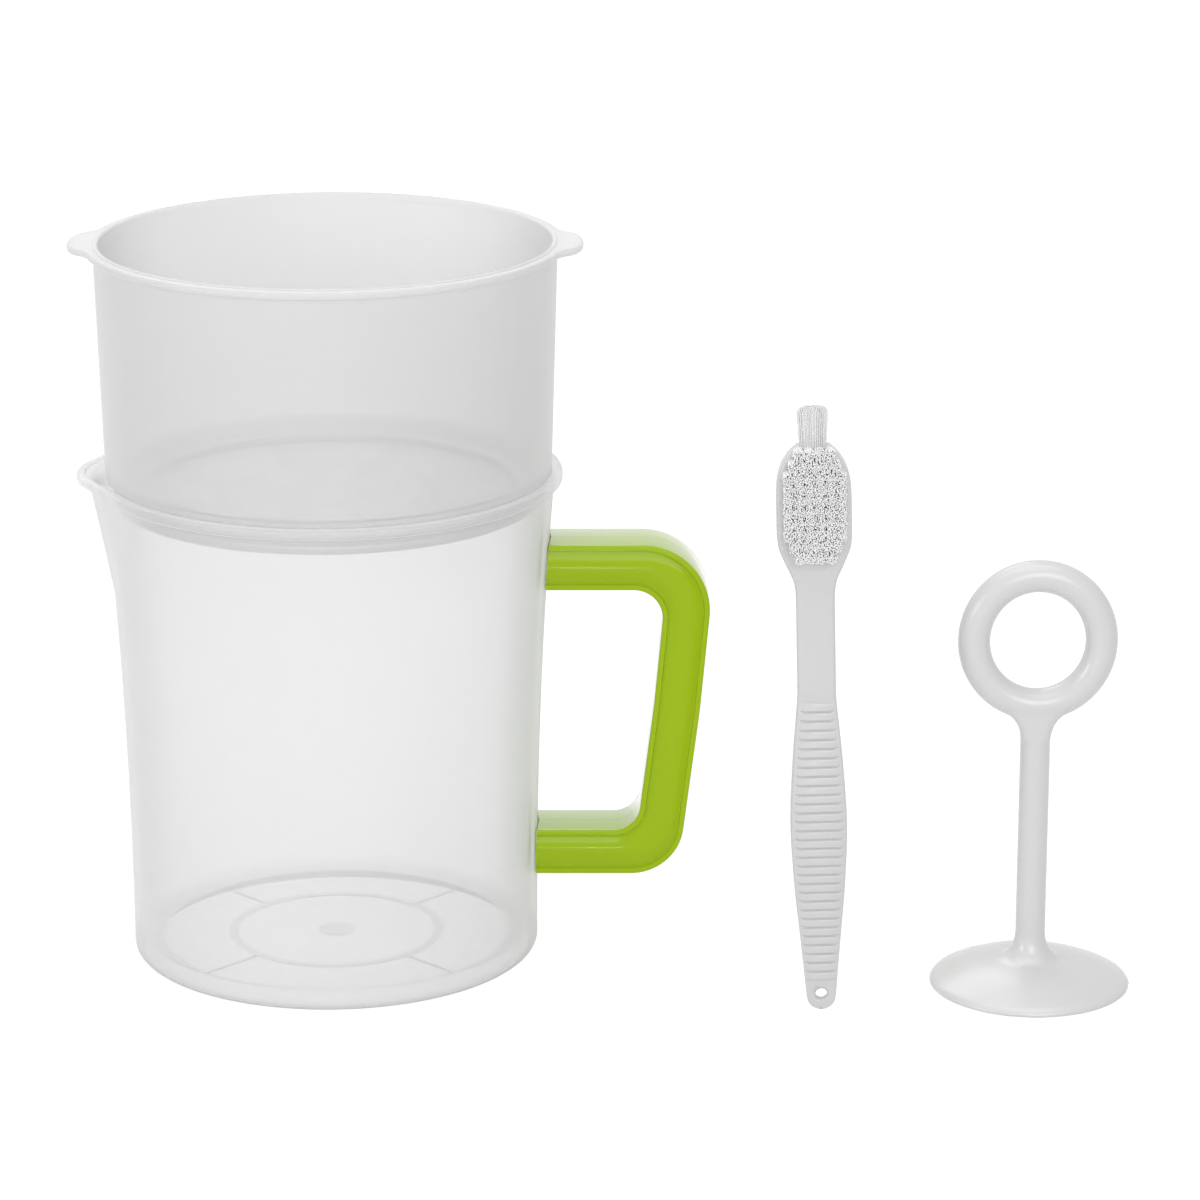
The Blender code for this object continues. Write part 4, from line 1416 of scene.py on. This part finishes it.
@dataclass
class Press:
    """The press: domed disc, rod, flared neck and finger ring, blended into one moulding."""

    axis_x: float
    axis_y: float
    disc_radius: float = 0.02705
    edge_height: float = 0.0007
    edge_round: float = 0.0006
    dome_height: float = 0.0064
    hollow: float = 0.0034
    hollow_share: float = 0.82
    foot_width: float = 0.0022
    rod_radius: float = 0.0040
    fillet_height: float = 0.0076
    fillet_width: float = 0.0057
    ring_height: float = 0.0965
    ring_half_width: float = 0.0169
    ring_half_height: float = 0.0177
    ring_bar: float = 0.0043
    neck_round: float = 0.0088
    neck_square: float = 0.6
    neck_sink: float = 0.0012
    dome: Curve = (
        (0.0, 1.0), (0.21, 1.0), (0.49, 0.83), (0.71, 0.57), (0.83, 0.36), (0.955, 0.12),
        (1.0, 0.0),
    )
    steps: int = 96
    edge_start: float = -60.0
    edge_steps: int = 3
    dome_steps: int = 15
    fillet_steps: int = 8
    rod_steps: int = 11
    bar_steps: int = 32
    neck_steps: int = 12
    neck_sides: int = 64
    grain: float = 0.00045
    soften_share: float = 0.5
    soften_rounds: int = 14

    def stem(self, maker: MeshMaker) -> None:
        """Add the disc and the rod.

        Args:
            maker: the mesh that they are added to.
        """
        disc = self.disc_radius
        top = self.edge_height + self.edge_round
        foot = disc - self.edge_round
        profile = [(self.rod_radius, self.hollow), (disc / 2, self.hollow * self.hollow_share),
                   (foot - self.foot_width, 0.0), (foot, 0.0)]
        profile += arc((foot, self.edge_height), self.edge_round, self.edge_start, 0,
                       self.edge_steps)
        start = self.rod_radius + self.fillet_width
        for i in range(1, self.dome_steps + 1):
            radius = disc - (disc - start) * i / self.dome_steps
            profile.append((radius, top + self.dome_height * follow(self.dome, radius / disc)))
        crest = profile[-1][1]
        for i in range(1, self.fillet_steps + 1):
            angle = TURN / 4 * i / self.fillet_steps
            profile.append((self.rod_radius + self.fillet_width * (1 - math.sin(angle)),
                            crest + self.fillet_height * (1 - math.cos(angle))))
        shoulder = crest + self.fillet_height
        rise = self.ring_height - self.ring_half_height - shoulder
        for i in range(1, self.rod_steps + 1):
            profile.append((self.rod_radius, shoulder + rise * i / self.rod_steps))
        maker.loft(turned(profile, self.steps))

    def ring(self, maker: MeshMaker) -> None:
        """Add the finger ring.

        Args:
            maker: the mesh that it is added to.
        """
        rings = []
        for i in range(self.steps):
            angle = TURN * i / self.steps
            out = Vector((math.cos(angle), 0.0, math.sin(angle)))
            middle = Vector((self.ring_half_width * out.x, 0.0,
                             self.ring_height + self.ring_half_height * out.z))
            rings.append([middle + out * point.x + Vector((0.0, point.y, 0.0))
                          for point in circle(self.ring_bar, 0.0, self.bar_steps)])
        maker.loft(rings, looped=True)

    def neck(self, maker: MeshMaker) -> None:
        """Add the neck that widens from the rod into the ring.

        Args:
            maker: the mesh that it is added to.
        """
        edge = self.ring_half_width + self.ring_bar
        middle = self.rod_radius + self.neck_round
        drop = math.sqrt((edge + self.neck_round) ** 2 - middle ** 2)
        bend = math.acos(middle / (edge + self.neck_round))
        levels = []
        for i in range(self.neck_steps + 1):
            angle = bend * i / self.neck_steps
            levels.append((self.rod_radius + self.neck_round * (1 - math.cos(angle)),
                           self.ring_height - drop + self.neck_round * math.sin(angle)))
        levels.append((levels[-1][0], levels[-1][1] + self.neck_sink))
        maker.loft([
            [Vector((math.copysign(abs(point.x) ** self.neck_square, point.x) * wide,
                     math.copysign(abs(point.y) ** self.neck_square, point.y) * self.rod_radius,
                     height))
             for point in circle(1.0, 0.0, self.neck_sides)]
            for wide, height in levels
        ])

    def build(self, finish: bpy.types.Material) -> None:
        """Model and dress the press.

        Args:
            finish: its material.
        """
        maker = MeshMaker("press_tool")
        self.stem(maker)
        self.ring(maker)
        self.neck(maker)
        press = maker.build()
        press.data.transform(Matrix.Translation((self.axis_x, self.axis_y, 0.0)))
        remesh = press.modifiers.new("Blend", "REMESH")
        remesh.mode = "VOXEL"
        remesh.voxel_size = self.grain
        remesh.use_smooth_shade = True
        smooth = press.modifiers.new("Soften", "SMOOTH")
        smooth.factor = self.soften_share
        smooth.iterations = self.soften_rounds
        freeze(press)
        self.settle(press)
        dress(press, finish, Body.PRESS, "press")

    def settle(self, press: bpy.types.Object) -> None:
        """Bring the softened foot back to the surface that the press stands on.

        Args:
            press: the press.
        """
        low = min(vertex.co.z for vertex in press.data.vertices)
        for vertex in press.data.vertices:
            vertex.co.z -= low * max(0.0, 1 - vertex.co.z / self.dome_height)


# Brush


@dataclass
class Brush:
    """The cleaning brush: ribbed grip, neck and oval head, with tufts on its face and its end."""

    jug_x: float
    foot: Place = (0.1317, -0.0518, 0.0001)
    lean: float = math.radians(-1.56)
    tail_length: float = 0.0082
    grip_length: float = 0.0777
    neck_length: float = 0.0294
    head_length: float = 0.0393
    tail_half_depth: float = 0.0010
    grip_half_width: float = 0.0074
    grip_half_depth: float = 0.0031
    neck_half_width: float = 0.0050
    neck_half_depth: float = 0.0026
    head_half_width: float = 0.0097
    head_half_depth: float = 0.0030
    edge_round: float = 0.0009
    rib_count: int = 31
    rib_height: float = 0.0007
    rib_margin: float = 0.0001
    rib_taper: float = 0.00112
    rib_shares: Curve = (
        (0.0, 0.0), (0.0625, 0.0), (0.125, 0.92), (0.1875, 1.0), (0.375, 1.0), (0.6875, 0.93),
        (0.8125, 0.78), (0.875, 0.42), (0.9375, 0.0), (1.0, 0.0),
    )
    hang_hole_radius: float = 0.0016
    hang_hole_height: float = 0.0042
    tail_shares: Curve = (
        (0.0, 0.16), (0.07, 0.33), (0.2, 0.45), (0.42, 0.52), (0.7, 0.55), (1.0, 0.58),
    )
    grip_shares: Curve = (
        (0.0, 0.58), (0.16, 0.73), (0.34, 0.9), (0.56, 1.0), (0.78, 0.89), (1.0, 0.69),
    )
    head_shares: Curve = (
        (0.0, 0.52), (0.09, 0.58), (0.21, 0.79), (0.33, 0.97), (0.5, 1.0),
        (0.75, 0.985), (0.84, 0.91), (0.91, 0.78), (0.965, 0.61), (1.0, 0.45),
    )
    head_thickening: float = 4.0
    tail_crowding: float = 1.6
    tail_steps: int = 10
    rib_steps: int = 16
    neck_steps: int = 12
    head_steps: int = 32
    corner_steps: int = 4
    hole_steps: int = 40

    def head_start(self) -> float:
        """Height at which the neck becomes the head."""
        return self.tail_length + self.grip_length + self.neck_length

    def head_top(self) -> float:
        """Height of the head's end."""
        return self.head_start() + self.head_length

    def head_width_at(self, height: float) -> float:
        """Half width of the head at a height."""
        place = (height - self.head_start()) / self.head_length
        return self.head_half_width * follow(self.head_shares, place)

    def section(self, height: float, half_width: float, half_depth: float,
                rib: float = 0.0) -> Ring:
        """A rounded rectangular section, with or without a rib on its front and back.

        Args:
            height: its height.
            half_width: half of its width.
            half_depth: half of its depth.
            rib: how far the rib stands out between the section's margins.

        Returns:
            Its points.
        """
        edge = min(self.edge_round, half_width / 2, half_depth / 2)
        foot = half_width - edge - self.rib_margin
        top = foot - self.rib_taper
        points = []
        for right, back, start in ((1, 1, 0), (-1, 1, 90), (-1, -1, 180), (1, -1, 270)):
            centre = (right * (half_width - edge), back * (half_depth - edge))
            points += arc(centre, edge, start, start + 90, self.corner_steps)
            if start in (0, 180):
                level = back * (half_depth + rib)
                points += [(right * foot, back * half_depth), (right * top, level),
                           (-right * top, level), (-right * foot, back * half_depth)]
        return [Vector((x, y, height)) for x, y in points]

    def body_rings(self) -> list[Ring]:
        """Sections from the tail, over the ribs and the neck, to the head's end.

        Returns:
            Their rings.
        """
        rings = []
        for i in range(self.tail_steps):
            share = (i / self.tail_steps) ** self.tail_crowding
            wide = self.grip_half_width * follow(self.tail_shares, share)
            rings.append(self.section(self.tail_length * share, wide, self.tail_half_depth))
        grip_steps = self.rib_count * self.rib_steps
        for i in range(grip_steps + 1):
            share = i / grip_steps
            place = (share * self.rib_count) % 1.0
            rib = self.rib_height * max(0.0, follow(self.rib_shares, place))
            swell = follow(self.grip_shares, share)
            depth = min(self.grip_half_depth, self.tail_half_depth + self.grip_half_depth * share)
            depth = max(depth * swell, self.tail_half_depth)
            rings.append(self.section(self.tail_length + self.grip_length * share,
                                      self.grip_half_width * swell, depth, rib))
        neck_start = self.tail_length + self.grip_length
        for i in range(1, self.neck_steps):
            height = neck_start + self.neck_length * i / self.neck_steps
            rings.append(self.section(height, self.neck_half_width, self.neck_half_depth))
        thickening = self.head_half_depth - self.neck_half_depth
        for i in range(self.head_steps + 1):
            share = i / self.head_steps
            height = self.head_start() + self.head_length * share
            depth = self.neck_half_depth + thickening * ease(share * self.head_thickening)
            rings.append(self.section(height, self.head_width_at(height), depth))
        return rings

    def stand_up(self, thing: bpy.types.Object) -> None:
        """Lean a mesh that was modelled upright and put it in its place.

        Args:
            thing: the piece.
        """
        x, y, z = self.foot
        place = Matrix.Translation((self.jug_x + x, y, z))
        thing.data.transform(place @ Matrix.Rotation(self.lean, 4, "Y"))

    def build_body(self, finish: bpy.types.Material) -> None:
        """Model and dress the brush's body.

        Args:
            finish: its material.
        """
        maker = MeshMaker("brush_handle")
        maker.loft(self.body_rings())
        body = maker.build()
        hole = MeshMaker("hang_hole")
        reach = 2 * self.grip_half_depth
        hole.loft([
            [Vector((point.x, y, self.hang_hole_height + point.y))
             for point in circle(self.hang_hole_radius, 0.0, self.hole_steps)]
            for y in (-reach, reach)
        ])
        merge(body, hole.build(), "DIFFERENCE")
        self.stand_up(body)
        dress(body, finish, Body.BRUSH, "brush_body")


@dataclass
class Tufts:
    """The brush's filaments: rows of tufts on the head's face and one bundle on its end."""

    brush: Brush
    length: float = 0.0054
    tuft_radius: float = 0.00112
    filament_radius: float = 0.00021
    filament_shares: Curve = ((0.0, 1.0), (0.98, 1.0), (1.0, 0.8))
    filaments: int = 80
    fill: float = 0.99
    squareness: float = 0.8
    root: float = 0.0002
    stray: float = 0.00022
    trim: float = 0.00022
    column_pitch: float = 0.0027
    row_pitch: float = 0.0030
    top_row_drop: float = 0.0009
    rows: tuple[int, ...] = (4, 5, 6, 6, 6, 6, 6, 6, 5, 4)
    end_length: float = 0.0103
    end_half_width: float = 0.0034
    end_half_depth: float = 0.00175
    end_back_shift: float = 0.0006
    end_splay_share: float = 0.16
    end_back_splay: float = 0.0003
    end_crown: float = 0.15
    end_crown_power: int = 8
    end_filaments: int = 220
    seed: int = 5
    luck: random.Random = field(init=False)

    def __post_init__(self) -> None:
        """Seed the strands' small differences."""
        self.luck = random.Random(self.seed)

    def strand(self, maker: MeshMaker, foot: Vector, tip: Vector) -> None:
        """Add one four-sided filament with a narrowed end.

        Args:
            maker: the mesh that it is added to.
            foot: where it leaves the head.
            tip: its end.
        """
        along = tip - foot
        side = along.orthogonal().normalized() * self.filament_radius
        other = along.cross(side).normalized() * self.filament_radius
        rings = []
        for share, width in self.filament_shares:
            middle = foot + along * share
            rings.append([middle + (side * math.cos(a) + other * math.sin(a)) * width
                          for a in (0.0, TURN / 4, TURN / 2, TURN * 3 / 4)])
        maker.loft(rings)

    @staticmethod
    def spot(number: int, count: int) -> Vector:
        """Place of a filament in a round bundle, evenly spread.

        Args:
            number: which filament.
            count: how many the bundle has.

        Returns:
            Its place in a circle of radius 1.
        """
        golden = TURN * (3 - math.sqrt(5)) / 2
        radius = math.sqrt((number + 0.5) / count)
        return Vector((radius * math.cos(golden * number), radius * math.sin(golden * number)))

    def squared(self, spot: Vector) -> Vector:
        """Move a place in a circle of radius 1 toward a square, so that splayed tufts meet."""
        largest = max(abs(spot.x), abs(spot.y))
        return spot * (1 + self.squareness * (spot.length / largest - 1))

    def build_face(self, finish: bpy.types.Material) -> None:
        """Model and dress the tufts on the head's face.

        Args:
            finish: the filaments' material.
        """
        maker = MeshMaker("bristles")
        front = -self.brush.head_half_depth
        for row, count in enumerate(self.rows):
            height = self.brush.head_top() - self.top_row_drop - self.row_pitch * row
            for column in range(count):
                x = (column - (count - 1) / 2) * self.column_pitch
                for number in range(self.filaments):
                    spot = self.spot(number, self.filaments)
                    out = spot * self.tuft_radius
                    spread = self.squared(spot) * self.fill / 2
                    stray = Vector((self.luck.uniform(-1, 1), self.luck.uniform(-1, 1)))
                    length = self.length - self.luck.uniform(0.0, self.trim)
                    foot = Vector((x + out.x, front + self.root, height + out.y))
                    tip = Vector((x + spread.x * self.column_pitch + stray.x * self.stray,
                                  front - length,
                                  height + spread.y * self.row_pitch + stray.y * self.stray))
                    self.strand(maker, foot, tip)
        bristles = maker.build()
        self.brush.stand_up(bristles)
        dress(bristles, finish, Body.BRUSH, "bristle_field")

    def build_end(self, finish: bpy.types.Material) -> None:
        """Model and dress the bundle on the head's end.

        Args:
            finish: the filaments' material.
        """
        maker = MeshMaker("end_tuft")
        base = self.brush.head_top()
        for number in range(self.end_filaments):
            spot = self.spot(number, self.end_filaments)
            x = spot.x * self.end_half_width
            y = spot.y * self.end_half_depth + self.end_back_shift
            dome = 1 - self.end_crown * spot.length ** self.end_crown_power
            high = base + self.end_length * dome - self.luck.uniform(0.0, self.trim)
            foot = Vector((x, y, base - self.root))
            tip = Vector((x * (1 + self.end_splay_share), y + spot.y * self.end_back_splay, high))
            self.strand(maker, foot, tip)
        tuft = maker.build()
        self.brush.stand_up(tuft)
        dress(tuft, finish, Body.BRUSH, "tip_tuft")


# Studio


@dataclass(frozen=True)
class Lamp:
    """One soft rectangular lamp, with its place and its target given from the jug's foot."""

    name: str
    place: Place
    size: tuple[float, float]
    watts: float
    target: Place = (0.09, 0.0, 0.09)

    def build(self, middle: Vector) -> None:
        """Add the lamp to the scene.

        Args:
            middle: the middle of the jug's foot.
        """
        light = bpy.data.lights.new(self.name, "AREA")
        light.shape = "RECTANGLE"
        light.size, light.size_y = self.size
        light.energy = self.watts
        place, target = middle + Vector(self.place), middle + Vector(self.target)
        lamp = bpy.data.objects.new(self.name, light)
        lamp.visible_camera = False
        lamp.location = place
        lamp.rotation_euler = (target - place).to_track_quat("-Z", "Y").to_euler()
        bpy.context.scene.collection.objects.link(lamp)


@dataclass
class Studio:
    """Plain pale floor, soft light from all round, and the photograph's camera."""

    middle: Vector
    camera_place: Place = (0.07275, -1.241, 0.4652)
    camera_pitch: float = 16.49
    focal_length: float = 143.36
    sensor_width: float = 36.0
    sight: float = 50.0
    floor_half: float = 6.0
    floor_height: float = -0.0001
    floor_glow: float = 0.92
    floor_tone: float = 0.18
    floor_bounce: float = 0.80
    sky_level: float = 0.52
    lamps: tuple[Lamp, ...] = (
        Lamp("overhead softbox", (0.0, -0.1, 1.5), (1.4, 1.2), 8.2),
        Lamp("left softbox", (-1.2, -0.85, 0.5), (0.5, 0.5), 3.8),
        Lamp("front softbox", (0.38, -1.5, 0.75), (1.0, 0.8), 8.6),
        Lamp("back softbox", (-0.30, 1.2, 1.30), (1.0, 0.8), 4.2),
        Lamp("low strip", (0.070, -0.45, 0.002), (0.030, 0.006), 0.035, (0.070, 0.0, 0.07)),
    )

    @staticmethod
    def grey(level: float) -> tuple[float, float, float, float]:
        """A neutral colour for a node's socket."""
        return level, level, level, 1.0

    def build_floor(self) -> None:
        """Add a floor that looks white, keeps a soft shadow and sends plain light back up."""
        maker = MeshMaker("studio_floor")
        half = self.floor_half
        corners = ((-half, -half), (half, -half), (half, half), (-half, half))
        maker.faces.append(tuple(
            maker.ring(Vector((x, y, self.floor_height)) for x, y in corners)))
        floor = maker.build()
        nodes = Nodes("studio floor")
        plain = nodes.add("BsdfDiffuse", Color=self.grey(self.floor_bounce))
        shadow = nodes.add("BsdfDiffuse", Color=self.grey(self.floor_tone))
        glow = nodes.add("Emission", Strength=self.floor_glow)
        both = nodes.add("AddShader")
        nodes.join(shadow.outputs["BSDF"], both.inputs[0])
        nodes.join(glow.outputs["Emission"], both.inputs[1])
        floor.data.materials.append(nodes.finish(nodes.mix(
            nodes.seen_directly(), plain.outputs["BSDF"], both.outputs["Shader"])))

    def build_sky(self) -> None:
        """Add the surround: white where it is seen, and a softer level where it lights."""
        nodes = Nodes("studio surround", world=True)
        light = nodes.add("Background", Color=self.grey(1.0), Strength=self.sky_level)
        seen = nodes.add("Background", Color=self.grey(1.0))
        bpy.context.scene.world = nodes.finish(nodes.mix(
            nodes.seen_directly(), light.outputs["Background"], seen.outputs["Background"]))

    def build_camera(self) -> None:
        """Add the camera at the photograph's viewing angle."""
        data = bpy.data.cameras.new("photograph camera")
        data.lens = self.focal_length
        data.sensor_width = self.sensor_width
        data.clip_end = self.sight
        camera = bpy.data.objects.new("photograph camera", data)
        camera.location = self.middle + Vector(self.camera_place)
        camera.rotation_euler = (math.radians(90 - self.camera_pitch), 0.0, 0.0)
        bpy.context.scene.collection.objects.link(camera)
        bpy.context.scene.camera = camera

    def build(self) -> None:
        """Set up the whole studio."""
        bpy.context.scene.view_settings.view_transform = "Standard"
        self.build_floor()
        self.build_sky()
        for lamp in self.lamps:
            lamp.build(self.middle)
        self.build_camera()


def main() -> None:
    """Load the frame, build each sub-assembly round it and set up the studio."""
    logging.basicConfig(level=logging.INFO, format="%(name)s: %(message)s")
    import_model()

    cup_low, cup_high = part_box("strainer_cup")
    jug_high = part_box("jug_body")[1]
    handle_low, handle_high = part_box("handle_front_shell")
    press_low, press_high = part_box("press")
    axis_x = (cup_low.x + cup_high.x) / 2
    finishes = Finishes()

    jug = Jug(axis_x, jug_high.z)
    handle = Handle(axis_x, handle_high.z, handle_low.z, jug)
    jug.build(handle, finishes)
    handle.build(finishes.handle.material())

    cup_material = finishes.cup.material()
    cup = StrainingCup(axis_x, cup_high.z, cup_low.z, jug_high.z + FIT_GAP, jug)
    cup.build(cup_material)
    screen = FilterScreen(cup)
    screen.build(finishes.screen.material())
    RetainingRing(screen).build(cup_material)

    press = Press((press_low.x + press_high.x) / 2, (press_low.y + press_high.y) / 2)
    press.build(finishes.press.material())

    brush = Brush(axis_x)
    brush.build_body(finishes.brush.material())
    tufts = Tufts(brush)
    tufts.build_face(finishes.bristle.material())
    tufts.build_end(finishes.shaded_end_bristle.material())

    Studio(Vector((axis_x, 0.0, 0.0))).build()


if __name__ == "__main__":
    main()
